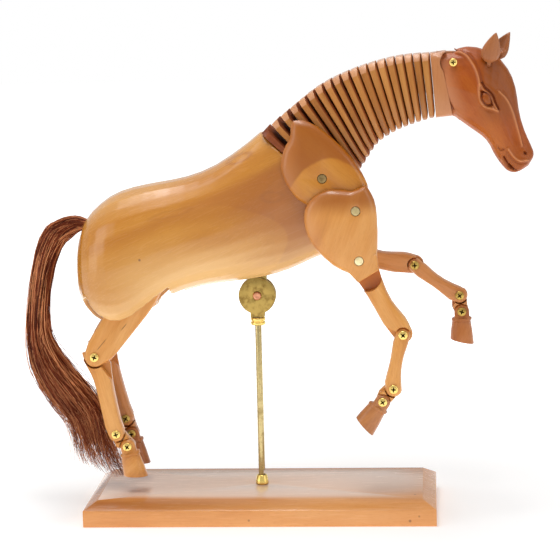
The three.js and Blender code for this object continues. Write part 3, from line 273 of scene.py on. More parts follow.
def rounded_bump(tree, edge, height, strength, distance):
    """A normal with the edges rounded by edge mm and a relief of that height."""
    rounded = put(tree, "Bevel", {"Radius": edge * MM}, samples=4).outputs[0]
    return put(tree, "Bump", {
        "Strength": strength, "Distance": distance, "Height": height, "Normal": rounded,
    }).outputs[0]


def new_material(name):
    made = bpy.data.materials.new(name)
    made.use_nodes = True
    made.node_tree.nodes.clear()
    return made, made.node_tree


def finish_material(tree, inputs):
    shader = put(tree, "BsdfPrincipled", inputs)
    put(tree, "OutputMaterial", {"Surface": shader.outputs[0]})


def wood(name, tones, lean=0.0, seed=0.0, gloss=0.34, coat=0.45, polish=0.14, figured=1.0, relief=0.10,
         tint=None, marks=(), strokes=(), screw_shadows=(), carved=False):
    """Lacquered wood. The grain runs along X turned by lean degrees towards +Z, and seed picks a place in it.
    gloss is the roughness of the wood, coat and polish the weight and roughness of its lacquer.
    figured is how strongly the grain shows, and tint a function that repaints the colour.
    marks are knots, stains and spots of painted shade (x, y, z, radius, depth), and strokes thin dark lines of grain
    (x0, z0, x1, z1).
    rims are painted shadows round screws, drawn as dark rings (x, y, z, inner, outer). A carved piece reads its
    painted shade, carved_shade, and its painted highlight, raised, off its mesh."""
    made, tree = new_material(name)
    place = object_place(tree)
    turned = put(tree, "Mapping", {
        "Vector": place,
        "Rotation": (0, math.radians(lean), 0),
        "Location": (seed * 0.37, seed * 0.11, seed * 0.23),
    }).outputs[0]

    def grain(scale, detail, rough=0.55, bent=0.0):
        stretched = vectors(tree, "MULTIPLY", turned, (scale[0], scale[1], scale[1]))
        return noise(tree, stretched, 1.0, detail, rough, bent)[0]

    clouds = grain(CLOUDS, 2, bent=0.4)
    figure = grain(FIGURE, 3, bent=0.5)
    streaks = grain(STREAKS, 2, 0.6)
    pores = grain(PORES, 1, 0.5)
    wobble = vectors(tree, "MULTIPLY", noise(tree, turned, 16.0, 1.0)[1], (0.02, 0.02, 0.02))
    bent = vectors(tree, "ADD", turned, wobble)
    rings = put(tree, "TexWave", {
        "Vector": vectors(tree, "MULTIPLY", bent, (0.12, 1.0, 1.0)),
        "Scale": GROWTH, "Distortion": 2.2, "Detail": 1.0, "Detail Scale": 1.4,
    }, bands_direction="DIAGONAL").outputs[1]
    tone = plus(tree, times(tree, clouds, 0.52), times(tree, figure, 0.26), times(tree, rings, 0.07),
                times(tree, streaks, 0.18))
    middle, reach = 0.515, 0.25 / figured
    tone = span(tree, tone, middle - reach, middle + reach, middle - 0.25, middle + 0.25)
    dark, plain, pale = tones
    colour = ramp(tree, tone, [(0.28, dark), (0.50, plain), (0.74, pale)])
    colour = painted(tree, colour, dark, span(tree, pores, 0.56, 0.72), 0.22)
    if tint:
        colour = tint(tree, place, colour)
    for x, y, z, radius, depth in marks:
        away = vectors(tree, "DISTANCE", place, metres(x, y, z))
        colour = painted(tree, colour, KNOT_AND_SHADE, span(tree, away, radius * MM, radius * 0.3 * MM), depth)
    for x0, z0, x1, z1 in strokes:
        long = math.hypot(x1 - x0, z1 - z0)
        right, up = (x1 - x0) / long, (z1 - z0) / long
        off = vectors(tree, "SUBTRACT", place, metres(x0, 0, z0))
        ahead = vectors(tree, "DOT_PRODUCT", off, (right, 0, up))
        aside = maths(tree, "ABSOLUTE", vectors(tree, "DOT_PRODUCT", off, (up, 0, -right)))
        colour = painted(
            tree, colour, GRAIN_LINE, span(tree, aside, 0.45 * MM, 0.1 * MM), span(tree, ahead, -MM, 2 * MM),
            span(tree, ahead, long * MM, (long - 3) * MM), 0.75)
    for x, y, z, inner, outer in screw_shadows:
        away = vectors(tree, "DISTANCE", place, metres(x, y, z))
        colour = painted(
            tree, colour, SCREW_SHADOW, span(tree, away, (inner - 0.3) * MM, inner * MM),
            span(tree, away, outer * MM, (outer - 0.5) * MM), 0.6)
    if carved:
        colour = painted(tree, colour, CARVED_SHADE, attribute(tree, "carved_shade"))
        colour = painted(tree, colour, CARVED_HIGHLIGHT, attribute(tree, "carved_highlight"))
    height = plus(tree, times(tree, streaks, 0.6), times(tree, pores, 0.4))
    finish_material(tree, {
        "Base Color": colour, "Roughness": span(tree, streaks, 0.2, 0.8, gloss - 0.05, gloss + 0.10),
        "Normal": rounded_bump(tree, WOOD_EDGE, height, relief, 0.0003),
        "Specular IOR Level": 0.25, "Coat Weight": coat, "Coat Roughness": polish, "Coat IOR": 1.5,
    })
    return made


def metal(name, tone, worn, rough, turned, dirt):
    """Metal with tarnish in patches. turned is how strongly lathe lines show."""
    made, tree = new_material(name)
    place = object_place(tree)
    patches = noise(tree, place, 260.0, 4.0, 0.6)[0]
    fine = noise(tree, place, 2200.0, 2.0)[0]
    lines = noise(tree, vectors(tree, "MULTIPLY", place, (200, 200, 5200)), 1.0, 2.0)[0]
    share = times(tree, span(tree, patches, 0.42, 0.70), dirt)
    height = plus(tree, times(tree, lines, turned), times(tree, fine, 0.3))
    finish_material(tree, {
        "Base Color": painted(tree, linear(tone), worn, share), "Metallic": 1.0,
        "Roughness": plus(tree, times(tree, share, 0.5), rough),
        "Normal": rounded_bump(tree, METAL_EDGE, height, 0.12, 0.0002),
    })
    return made


def hair_material():
    """Chestnut hair, whose tone differs from strand to strand."""
    made, tree = new_material("chestnut_hair")
    bands = noise(tree, object_place(tree), 90.0, 2.0)[0]
    tone = plus(tree, times(tree, attribute(tree, "shade"), 0.8), times(tree, bands, 0.3))
    dark, plain, pale = HAIR
    finish_material(tree, {
        "Base Color": ramp(tree, tone, [(0.15, dark), (0.48, plain), (0.88, pale)]),
        "Roughness": 0.5, "Specular IOR Level": 0.25,
    })
    return made


# ---- mesh helpers ----

def mesh_of(name, points, faces):
    mesh = bpy.data.meshes.new(name)
    mesh.from_pydata([tuple(p) for p in points], [], faces)
    mesh.update()
    return mesh


def new_object(name, data):
    made = bpy.data.objects.new(name, data)
    bpy.context.scene.collection.objects.link(made)
    return made


def modify(piece, kind, **settings):
    made = piece.modifiers.new(kind, kind)
    for key, value in settings.items():
        setattr(made, key, value)


def baked(piece):
    """The mesh of an object as its modifiers leave it."""
    return bpy.data.meshes.new_from_object(piece.evaluated_get(bpy.context.evaluated_depsgraph_get()))


def circle(sides):
    """The cosines and sines of even steps round a circle."""
    turns = [2 * math.pi * side / sides for side in range(sides)]
    return [(math.cos(turn), math.sin(turn)) for turn in turns]


def tube_faces(rings, sides, first=0):
    """The faces of a closed tube through rings of points, which are numbered from first."""
    faces = [tuple(first + side for side in reversed(range(sides)))]
    for ring in range(rings - 1):
        for side in range(sides):
            a = first + ring * sides + side
            b = first + ring * sides + (side + 1) % sides
            faces.append((a, b, b + sides, a + sides))
    last = first + (rings - 1) * sides
    faces.append(tuple(last + side for side in range(sides)))
    return faces


def tube(name, rings):
    """A closed mesh through rings of equally many points."""
    return mesh_of(name, [point for ring in rings for point in ring], tube_faces(len(rings), len(rings[0])))


def points_of(mesh, what="co"):
    """The places or normals of a mesh's corners as an array."""
    flat = np.empty(len(mesh.vertices) * 3, np.float32)
    mesh.vertices.foreach_get(what, flat)
    return flat.reshape(-1, 3).astype(float)


def move_points(mesh, places):
    mesh.vertices.foreach_set("co", places.astype(np.float32).ravel())
    mesh.update()


def store(mesh, name, values):
    """Keeps a number for each corner of a mesh, for its material."""
    mesh.attributes.new(name, "FLOAT", "POINT").data.foreach_set("value", np.array(values, np.float32))


def smooth_faces(mesh, crease):
    mesh.shade_smooth()
    mesh.set_sharp_from_angle(angle=math.radians(crease))


def new_piece(name, mesh, material, body, smooth=True):
    piece = new_object(name, mesh)
    mesh.materials.clear()
    mesh.materials.append(material)
    if smooth:
        mesh.shade_smooth()
    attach(piece, body)
    return piece


def refined(name, material, bevel=0.0, inner=None, bare=(), shift=None):
    """A finer copy of a CAD node in its place: flat faces joined, sharp edges rounded by bevel mm, curves smooth.
    inner is a second material, and the direction that its faces look along or away from.
    bare lists places (centre, radius) whose plain screw head makes way for a modelled one.
    shift is a function that moves a corner of the copy."""
    made = bmesh.new()
    made.from_mesh(nodes[name].data)
    bmesh.ops.remove_doubles(made, verts=made.verts, dist=WELD)
    for centre, radius in bare:
        for vertex in made.verts:
            off = vertex.co - centre
            if off.y < 0.0 and math.hypot(off.x, off.z) < radius:
                vertex.co.y = centre.y
    if shift:
        for vertex in made.verts:
            shift(vertex.co)
    bmesh.ops.dissolve_limit(made, angle_limit=math.radians(0.8), verts=made.verts, edges=made.edges)
    if bevel:
        sharp = [e for e in made.edges if len(e.link_faces) == 2 and e.calc_face_angle() > math.radians(CREASE)]
        bmesh.ops.bevel(made, geom=sharp, offset=bevel * MM, segments=2, profile=0.6,
                        affect="EDGES", clamp_overlap=True)
    bmesh.ops.remove_doubles(made, verts=made.verts, dist=SLIVER)
    bmesh.ops.dissolve_degenerate(made, dist=SLIVER, edges=made.edges)
    made.verts.index_update()
    mesh = mesh_of(name + "_shape", [vertex.co.copy() for vertex in made.verts],
                   [[vertex.index for vertex in face.verts] for face in made.faces])
    made.free()
    piece = new_piece(name + "_shape", mesh, material, body_of[name], smooth=False)
    smooth_faces(mesh, CREASE)
    if inner:
        inner_material, direction = inner
        mesh.materials.append(inner_material)
        for face in mesh.polygons:
            share = face.normal.dot(direction)
            if share > INNER_AHEAD or share < -INNER_BEHIND:
                face.material_index = 1
    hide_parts(name)
    return piece


def remeshed(name, material, voxel, passes):
    """A fine even mesh over a CAD node, with its facets smoothed away. It replaces the node."""
    source = new_object("source", nodes[name].data.copy())
    modify(source, "WELD", merge_threshold=WELD)
    modify(source, "REMESH", mode="VOXEL", voxel_size=voxel * MM)
    modify(source, "SMOOTH", factor=0.5, iterations=passes)
    mesh = baked(source)
    mesh.name = name + "_shape"
    bpy.data.objects.remove(source)
    piece = new_piece(name + "_shape", mesh, material, body_of[name])
    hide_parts(name)
    return piece


# ---- camera, light and floor ----

def build_camera():
    yaw, pitch, roll = (math.radians(v) for v in (CAMERA_YAW, CAMERA_PITCH, CAMERA_ROLL))
    ahead = Vector((math.sin(yaw) * math.cos(pitch), math.cos(yaw) * math.cos(pitch), -math.sin(pitch)))
    right = Vector((math.cos(yaw), -math.sin(yaw), 0))
    above = right.cross(ahead)
    side = right * math.cos(roll) + above * math.sin(roll)
    top = -right * math.sin(roll) + above * math.cos(roll)
    data = bpy.data.cameras.new("camera")
    data.sensor_fit = "HORIZONTAL"
    data.angle = math.radians(CAMERA_FIELD)
    data.clip_start = 0.05
    data.clip_end = 30
    camera = new_object("camera", data)
    turn = Matrix((side, top, -ahead)).transposed().to_4x4()
    camera.matrix_world = Matrix.Translation(Vector(CAMERA_PLACE) * MM) @ turn
    bpy.context.scene.camera = camera


def soft_box(name, place, target, width, height, watts):
    data = bpy.data.lights.new(name, "AREA")
    data.shape = "RECTANGLE"
    data.size = width
    data.size_y = height
    data.energy = watts
    lamp = new_object(name, data)
    away = Vector(place) - Vector(target)
    lamp.matrix_world = Matrix.Translation(place) @ away.to_track_quat("Z", "Y").to_matrix().to_4x4()


def build_world():
    world = bpy.data.worlds.new("studio")
    bpy.context.scene.world = world
    world.use_nodes = True
    tree = world.node_tree
    tree.nodes.clear()
    path = put(tree, "LightPath").outputs
    seen = maths(tree, "MAXIMUM", path["Is Camera Ray"], times(tree, path["Is Glossy Ray"], WORLD_IN_GLOSS))
    strength = span(tree, seen, 0.0, 1.0, WORLD_LIGHT, WORLD_SEEN)
    sky = put(tree, "Background", {"Color": (1, 1, 1, 1), "Strength": strength})
    put(tree, "OutputWorld", {"Surface": sky.outputs[0]})


def build_floor():
    """A white floor just under the board, 8 m wide. It keeps the object's shadow."""
    floor = mesh_of("floor", [(-4, -4, 0), (4, -4, 0), (4, 4, 0), (-4, 4, 0)], [(0, 1, 2, 3)])
    made, tree = new_material("floor_white")
    base = put(tree, "BsdfDiffuse", {"Color": (FLOOR_WHITE, FLOOR_WHITE, FLOOR_WHITE, 1)})
    away = vectors(tree, "LENGTH", object_place(tree), (0, 0, 0))
    glow = span(tree, away, *FLOOR_GLOW)
    camera_ray = put(tree, "LightPath").outputs["Is Camera Ray"]
    other_rays = minus(tree, 1.0, camera_ray)
    strength = plus(tree, times(tree, camera_ray, glow), times(tree, other_rays, FLOOR_WHITE))
    shine = put(tree, "Emission", {"Color": (1, 1, 1, 1), "Strength": strength})
    both = put(tree, "AddShader", {0: base.outputs[0], 1: shine.outputs[0]})
    put(tree, "OutputMaterial", {"Surface": both.outputs[0]})
    ground = new_object("floor", floor)
    ground.location.z = -0.2 * MM
    floor.materials.append(made)


# ---- tints ----

def board_shade_and_highlight(tree, place, colour):
    """Painted shade darkens the front chamfer towards its left end, and a painted highlight makes the top paler."""
    upward = facing(tree)[2]
    chamfer = times(tree, span(tree, upward, 0.75, 0.90), span(tree, upward, 0.999, 0.93))
    left = span(tree, axes(tree, place)[0], 0.06, -0.10)
    colour = painted(tree, colour, CHAMFER_SHADE, chamfer, left, 0.6)
    return painted(tree, colour, BOARD_TOP_HIGHLIGHT, span(tree, upward, 0.97, 0.995), 0.8)


def leaf_crest_highlight(name, up):
    """A painted highlight: the facets along a leaf's crest are pinkish and paler than its sides."""
    top = max(vertex.co.dot(up) for vertex in nodes[name].data.vertices)

    def tint(tree, place, colour):
        level = vectors(tree, "DOT_PRODUCT", place, tuple(up))
        return painted(tree, colour, CREST_HIGHLIGHT, span(tree, level, top - 0.0043, top - 0.0037), 0.6)
    return tint


# Growth rings on the barrel: x, z, lean, half length, half width, depth.
BARREL_RINGS = [(12, 198.4, 8, 12, 6.5, 0.3), (-8.4, 218.9, 22, 17, 4.5, 0.4), (-50, 188, 16, 26, 4, 0.2)]
# How steeply the back of the barrel rises forward.
BACK_RISE = 0.42


def barrel_tint(tree, place, colour):
    """Painted light from below in a pale oval on each flank, browner round the chest, painted shade in a band across
    the upper flank, a painted highlight along the back, growth rings, and painted light from below on the belly.
    """
    x, _, z = axes(tree, place)
    wobble = noise(tree, place, 24.0, 2.0)[1]
    flat = put(tree, "CombineXYZ", {0: x, 2: z}).outputs[0]
    bent = vectors(tree, "ADD", flat, vectors(tree, "MULTIPLY", wobble, (0.010, 0, 0.010)))

    def oval(middle_x, middle_z, lean, long, short):
        """1 on the edge of an oval and 0 in its middle. The wobble adds 5 mm on average, which is taken off."""
        moved = vectors(tree, "SUBTRACT", bent, metres(middle_x + 5, 0, middle_z + 5))
        turned = put(tree, "Mapping", {"Vector": moved, "Rotation": (0, math.radians(lean), 0)}).outputs[0]
        sized = vectors(tree, "MULTIPLY", turned, (1000 / long, 0, 1000 / short))
        return vectors(tree, "LENGTH", sized, (0, 0, 0))

    flank = oval(-44, 158, 14, 64, 31)
    level = minus(tree, z, times(tree, x, BACK_RISE))
    chest = span(tree, x, -0.050, 0.010)
    below = span(tree, level, 0.214, 0.206)
    colour = painted(tree, colour, CHEST, span(tree, flank, 0.985, 1.015), chest, below, 0.55)
    colour = painted(tree, colour, FLANK_SHADE, span(tree, flank, 0.55, 1.0), below,
                     span(tree, z, 0.160, 0.180), 0.45)
    colour = painted(tree, colour, FLANK_BOUNCE_LIGHT, span(tree, flank, 1.0, 0.3), span(tree, z, 0.180, 0.145), 0.6)
    colour = painted(tree, colour, BACK_HIGHLIGHT, span(tree, level, 0.218, 0.232), 0.4)
    for *shape, depth in BARREL_RINGS:
        ring = oval(*shape)
        waves = maths(tree, "ABSOLUTE", maths(tree, "SINE", times(tree, ring, 3.4)))
        lines = maths(tree, "POWER", waves, 9.0)
        colour = painted(tree, colour, GROWTH_RING, lines, span(tree, ring, 1.25, 0.7), depth)
    return painted(tree, colour, BELLY_BOUNCE_LIGHT, span(tree, facing(tree)[2], 0.0, -0.75), 0.65)


def recess_shade(tree, place, colour):
    """Painted shade: the floor of the notch under the elbow is dark brown."""
    _, y, z = axes(tree, place)
    outward = span(tree, facing(tree)[1], -0.6, -0.9)
    return painted(tree, colour, NOTCH_SHADE, span(tree, y, -0.0285, -0.0275), span(tree, y, -0.024, -0.025),
                   outward, span(tree, z, 0.125, 0.130))


def blade_shade_and_highlight(crest, back, middle, bow, soft):
    """Painted shade makes the part of a shoulder plate above a bowed line browner, and a painted highlight makes its
    rear rim pinkish. In metres, the line lies at height crest over middle and falls by bow times the distance
    squared. back is the rear end."""
    def tint(tree, place, colour):
        x, _, z = axes(tree, place)
        off = minus(tree, x, middle)
        wobble = noise(tree, place, 60.0, 1.0)[0]
        level = plus(tree, z, times(tree, off, off, bow), times(tree, wobble, 0.004))
        colour = painted(tree, colour, BLADE_TOP_SHADE, span(tree, level, crest - soft, crest + soft), 0.75)
        return painted(tree, colour, BLADE_REAR_HIGHLIGHT, span(tree, x, back + 0.010, back), 0.4)
    return tint


def poll_tint(tree, place, colour):
    """The poll block turns redder towards the head."""
    return painted(tree, colour, POLL_FRONT, span(tree, axes(tree, place)[0], 0.107, 0.117), 0.6)


def head_tint(tree, place, colour):
    """Painted shade, orange brown, over the forehead, brown at the muzzle, and a painted highlight, pinkish tan, next
    to the neck.
    """
    x, _, z = axes(tree, place)
    colour = painted(tree, colour, BROW_SHADE, span(tree, x, 0.132, 0.142), span(tree, z, 0.232, 0.250), 0.75)
    muzzle = span(tree, minus(tree, z, times(tree, x, 0.35)), 0.178, 0.158)
    colour = painted(tree, colour, MUZZLE, muzzle, 0.6)
    throat = span(tree, plus(tree, x, times(tree, z, 0.25)), 0.192, 0.179)
    return painted(tree, colour, CHEEK_HIGHLIGHT, throat, 0.75)


# ---- seats of the screws ----

# The limb that carries the screw of a joint, and how far in front of the joint it sits.
SCREWS = {
    "knee": ("forearm", 5.0), "fore_fetlock": ("fore_pastern", 5.0), "fore_coffin": ("fore_pastern", 4.8),
    "hock": ("hind_cannon", 4.7), "hind_fetlock": ("hind_pastern", 5.0), "hind_coffin": ("hind_pastern", 4.8),
}
SCREW_RADIUS = 2.75
SCREW_CLEARANCE = 0.3
POLL_SCREW_RADIUS = 2.4
POLL_SCREW_SEAT = -11.7


def screw_seat(joint, depth):
    centre = joint_at[joint].copy()
    centre.y -= depth * MM
    return centre


def poll_seat():
    centre = joint_at["head_nod"].copy()
    centre.y = POLL_SCREW_SEAT * MM
    return centre


def screws_on(limb, side):
    """The centre and reach of each plain screw head on a limb."""
    return [(screw_seat(f"{joint}_{side}", depth), (SCREW_RADIUS + SCREW_CLEARANCE) * MM)
            for joint, (carrier, depth) in SCREWS.items() if carrier == limb]


def screw_shadows_on(limb, side):
    """The painted shadows round the screws of a limb, as dark rings, for its wood."""
    width = 1.3 if limb.endswith("pastern") else 0.7
    return [(*(c / MM for c in centre), SCREW_RADIUS, SCREW_RADIUS + width) for centre, _ in screws_on(limb, side)]


# ---- trims ----

# The far forearm's end round its elbow keeps to this radius over this reach in front of the elbow.
ELBOW_END_RADIUS = 4.0
ELBOW_END_REACH = 7.0
# The far shoulder pieces are squeezed beyond this X, and nothing of them lies behind and below this X and Z.
FAR_EDGE = 58.0
FAR_EDGE_KEEP = 0.45
FAR_ELBOW = (48.5, 156.5)
# The rump is smoothed behind this X, and ever more over this distance.
RUMP_START = -82
RUMP_FADE = 12
RUMP_PASSES = 60
# The hip block: half its depth, its ends, and the belly line as x, z and slope.
BLOCK_HALF = 12.8
BLOCK_REAR, BLOCK_FRONT = -62.5, -45
BELLY_LINE = (-61.8, 132.9, 0.93)
# The ridge on a leaf: half its width, how high its top and its foot lie over the face, its rows and their distance.
# Leaves after RIDGE_AFTER have one.
RIDGE_HALF_WIDTH = 0.9
RIDGE_RISE = 0.17
RIDGE_ROOT = -0.2
RIDGE_ROWS = range(-14, 61)
RIDGE_STEP = 0.5
RIDGE_AFTER = 12


def elbow_end(spot):
    """The far forearm's end round its elbow is slim enough to stay behind the upper arm."""
    centre = joint_at["elbow_far"]
    off = Vector((spot.x - centre.x, 0, spot.z - centre.z))
    if spot.x < centre.x + ELBOW_END_REACH * MM and off.length > ELBOW_END_RADIUS * MM:
        off *= ELBOW_END_RADIUS * MM / off.length
        spot.x, spot.z = centre.x + off.x, centre.z + off.z


def far_edge(spot):
    """The edges of the far shoulder pieces keep behind those of the near side."""
    edge = FAR_EDGE * MM
    if spot.x > edge:
        spot.x = edge + (spot.x - edge) * FAR_EDGE_KEEP
    if spot.x < FAR_ELBOW[0] * MM:
        spot.z = max(spot.z, FAR_ELBOW[1] * MM)


def seat_ear(piece, root, tip):
    """Moves the foot of an ear by root, its tip by tip, and what lies between by shares of both."""
    heights = [vertex.co.z for vertex in piece.data.vertices]
    low, high = min(heights), max(heights)
    for vertex in piece.data.vertices:
        share = (vertex.co.z - low) / (high - low)
        vertex.co += Vector(metres(*root)) * (1 - share) ** 2 + Vector(metres(*tip)) * share ** 2
    piece.data.update()


def smooth_barrel(piece):
    """Rounds the rump, and draws the hip block up to the line of the belly."""
    mesh = piece.data
    place = points_of(mesh)
    ends = np.empty(len(mesh.edges) * 2, np.int32)
    mesh.edges.foreach_get("vertices", ends)
    ends = ends.reshape(-1, 2)
    links = np.bincount(ends.ravel(), minlength=len(place))[:, None]
    weight = np.clip((RUMP_START - place[:, 0] / MM) / RUMP_FADE, 0, 1)[:, None]
    for step in range(RUMP_PASSES):
        total = np.zeros_like(place)
        np.add.at(total, ends[:, 0], place[ends[:, 1]])
        np.add.at(total, ends[:, 1], place[ends[:, 0]])
        # Each second pass swells the mesh again, so that it keeps its size.
        place += (total / links - place) * weight * (0.5 if step % 2 == 0 else -0.51)
    x, y, z = (place / MM).T
    foot_x, foot_z, slope = BELLY_LINE
    line = foot_z + (x - foot_x) * slope
    block = (np.abs(y) < BLOCK_HALF) & (x > BLOCK_REAR) & (x < BLOCK_FRONT)
    place[:, 2] = np.where(block, np.maximum(z, line), z) * MM
    move_points(mesh, place)


def add_ridge(name, mesh, ahead, material):
    """A low ridge up the middle of a leaf's head side. It closes the view through the gap to the next leaf."""
    tree = BVHTree.FromPolygons([v.co for v in mesh.vertices], [list(f.vertices) for f in mesh.polygons])
    up = Vector((-ahead.z, 0, ahead.x))
    middle = sum((v.co for v in mesh.vertices), Vector()) / len(mesh.vertices)
    middle.y = 0.0
    rings = []
    for row in RIDGE_ROWS:
        hit, normal, _, _ = tree.ray_cast(middle + up * (row * RIDGE_STEP * MM) + ahead * 0.01, -ahead)
        if hit is not None and normal.dot(ahead) >= 0.97:
            rings.append([hit + ahead * (rise * MM) + Vector((0, side * RIDGE_HALF_WIDTH * MM, 0)) for side, rise in (
                (-1, RIDGE_ROOT), (-1, RIDGE_RISE), (1, RIDGE_RISE), (1, RIDGE_ROOT))])
    ridge = tube(name + "_ridge", rings)
    new_piece(ridge.name, ridge, material, body_of[name], smooth=False)


# ---- wood ----

# Marks, as wood() takes them.
BOARD_MARKS = [(91, -46.1, 3.4, 1.2, 0.6), (96.5, -46.1, 6.2, 0.9, 0.5), (-6, -46.1, 4.0, 1.0, 0.5),
               (94, -28, 14.9, 1.1, 0.5)]
BARREL_MARKS = [(-69, -31, 161.3, 1.2, 0.8), (-41.2, -16, 142.1, 1.0, 0.7)]
# The limbs: name, and the lean of the grain on the near and on the far side.
LIMBS = [
    ("thigh", 60, 62), ("hind_cannon", 104, 104), ("hind_pastern", 50, 50), ("hind_hoof", 40, 40),
    ("forearm", -60, -12), ("fore_cannon", 80, -35), ("fore_pastern", 50, 82), ("fore_hoof", 40, 60),
]
# What is special about the wood of single limbs.
# The far hooves are painted darker as shade; the near fore hoof has its own tone.
LIMB_TONES = {"fore_hoof_near": HOOF, "fore_hoof_far": FAR_HOOF_SHADED, "hind_hoof_far": FAR_HOOF_SHADED}
# The near forearm gets painted shade on the floor of its elbow notch, and the near fore cannon a spot of painted
# shade in the knee's notch.
LIMB_EXTRAS = {
    "forearm_near": {"tint": recess_shade}, "fore_cannon_near": {"marks": [(80.6, -31.2, 107.6, 1.5, 0.9)]},
    "thigh_near": {"strokes": [(-98.4, 104.5, -91.8, 112.3), (-83.2, 116.7, -78.9, 121.6)]},
}
LEAVES = 18
# The lean of the neck's first slab, and how much less the last leaf leans.
NECK_LEAN = 42
NECK_BEND = 36
# Leaves before this one are painted dark as shade between each other.
FIRST_LIT_LEAF = 10


def dress_limbs():
    for index, (stem, *leans) in enumerate(LIMBS):
        # The far side's wood is painted darker and redder as shade.
        for side, tones, seed, lean in zip(("near", "far"), (TAN, FAR_SIDE_SHADED), (7.1, 17.3), leans):
            name = f"{stem}_{side}"
            look = wood(name + "_wood", LIMB_TONES.get(name, tones), lean=lean, seed=seed + index, coat=0.3,
                        figured=0.8, screw_shadows=screw_shadows_on(stem, side), **LIMB_EXTRAS.get(name, {}))
            refined(name, look, bevel=0.25, bare=screws_on(stem, side),
                    shift=elbow_end if name == "forearm_far" else None)


def dress_neck():
    """The neck's first slab and its leaves. Their faces towards each other are raw wood, painted dark as shade on the
    slab and the first leaves.
    """
    raw = wood("leaf_face_wood", LEAF_FACE, lean=100, seed=40.1, gloss=0.75, coat=0.0)
    shaded_faces = wood("leaf_shade_wood", LEAF_SHADE, lean=100, seed=41.1, gloss=0.75, coat=0.0)
    # The slab's wood is painted dark as shade.
    refined("neck_cap", wood("cap_shaded_wood", SLAB_SHADE, lean=45, seed=30.2), bevel=0.4, inner=(shaded_faces, tilted(NECK_LEAN)))
    for number in range(1, LEAVES + 1):
        lean = NECK_LEAN - NECK_BEND * number / LEAVES
        name = f"neck_leaf_{number:02d}"
        ahead = tilted(lean)
        leaf_wood = wood(f"leaf_wood_{number:02d}", (LEAF, LEAF_PALE, LEAF)[number % 3], lean=90 + lean,
                         seed=31 + number * 1.7, tint=leaf_crest_highlight(name, tilted(90 + lean)))
        leaf = refined(name, leaf_wood, bevel=0.45, inner=(shaded_faces if number < FIRST_LIT_LEAF else raw, ahead))
        if number > RIDGE_AFTER:
            add_ridge(name, leaf.data, ahead, raw)


def dress_wood():
    board = wood("board_wood", BOARD, seed=1.3, gloss=0.20, coat=0.4, figured=0.5, tint=board_shade_and_highlight,
                 marks=BOARD_MARKS)
    refined("base_board", board, bevel=0.4)
    barrel = wood("barrel_wood", HONEY, lean=24, seed=3.1, gloss=0.22, coat=0.8, polish=0.22, figured=0.3,
                  relief=0.03, tint=barrel_tint, marks=BARREL_MARKS)
    smooth_barrel(remeshed("torso", barrel, 1.0, 5))
    blade = wood("blade_wood", BLADE, lean=-40, seed=4.7, figured=0.5,
                 tint=blade_shade_and_highlight(0.222, 0.020, 0.046, 30.0, 0.0012))
    refined("scapula_near", blade, bevel=0.4)
    upper_arm = wood("upper_arm_wood", TAN, lean=70, seed=5.9, figured=0.5,
                     tint=blade_shade_and_highlight(0.192, 0.034, 0.058, 0.0, 0.006))
    refined("humerus_near", upper_arm, bevel=0.4)
    # The far shoulder's wood is painted darker and redder as shade.
    far_shoulder = wood("far_shoulder_shaded_wood", FAR_SIDE_SHADED, lean=-40, seed=6.4)
    for name in ("scapula_far", "humerus_far"):
        refined(name, far_shoulder, bevel=0.4, shift=far_edge)
    dress_limbs()
    dress_neck()
    refined("poll_block", wood("poll_wood", POLL, lean=90, seed=52.4, tint=poll_tint), bevel=0.3)
    head_wood = wood("head_wood", CHEEK, lean=-60, seed=55.8, gloss=0.38, coat=0.15, figured=0.7,
                     tint=head_tint, carved=True)
    carve_head(remeshed("head", head_wood, 0.32, 8))
    ear_wood = wood("ear_wood", EAR, lean=80, seed=57.2, gloss=0.42, coat=0.1, figured=0.6)
    seat_ear(remeshed("ear_near", ear_wood, 0.35, 3), (0, -0.4, -2.2), (-0.8, 0, 0.8))
    seat_ear(remeshed("ear_far", ear_wood, 0.35, 3), (0, 0, 0), (1.6, 0, 1.4))


# ---- the head's carving ----

# Lines on the side of the head, as X and Z.
RIDGE = [(121.8, 280.6), (124.2, 279.9), (127.4, 278.3), (129.8, 275.6), (132.7, 270.8), (134.4, 265.7),
         (135.1, 261.6), (134.8, 256.8), (135.5, 252.1), (138.1, 248.5), (141.9, 247.0), (146.1, 245.4)]
RIDGE_FOOT = [(126.2, 280.6), (129.4, 279.0), (131.8, 276.2), (134.7, 271.3), (136.2, 266.0), (136.6, 262.5)]
LID_OUTER = [(136.8, 262.4), (138.6, 259.4), (141.4, 257.2), (143.6, 254.2), (144.8, 250.6), (146.8, 246.0)]
LID = [(135.9, 261.2), (137.4, 258.3), (140.2, 256.2), (142.3, 253.4), (143.4, 250.2), (145.2, 246.9)]
LID_INNER = [(136.5, 257.2), (138.9, 256.6), (141.2, 254.9), (142.3, 252.2), (142.9, 249.2)]
LID_LOWER = [(135.3, 256.4), (135.3, 252.4), (137.1, 249.0), (140.0, 247.4), (143.6, 247.0)]
EYE_LOWER = [(136.4, 256.6), (136.5, 253.0), (138.0, 250.3), (140.4, 248.9), (143.0, 248.9)]
JAW_GROOVE = [(114.6, 259.4), (116.4, 253.6), (119.6, 246.9)]
FACE_CREST = [(146.9, 256.9), (151.0, 252.1), (154.2, 245.5), (157.4, 234.7), (160.3, 223.9)]
FACE_FOOT = [(149.0, 256.6), (153.0, 252.0), (156.0, 245.3), (159.0, 234.8), (161.8, 224.5)]
MOUTH = [(149.5, 217.2), (151.7, 213.2), (154.1, 210.5), (157.2, 208.2)]
MOUTH_FRONT = [(152.4, 212.0), (154.6, 209.4), (157.0, 206.6)]
MOUTH_CURL = [(146.1, 223.1), (147.6, 221.6), (149.7, 222.0)]
UPPER_LIP = [(152.1, 222.3), (155.3, 217.7), (159.2, 214.9), (163.7, 215.2)]
LIP_FOOT = [(151.2, 220.8), (154.2, 216.4), (158.4, 213.4), (163.2, 213.6)]
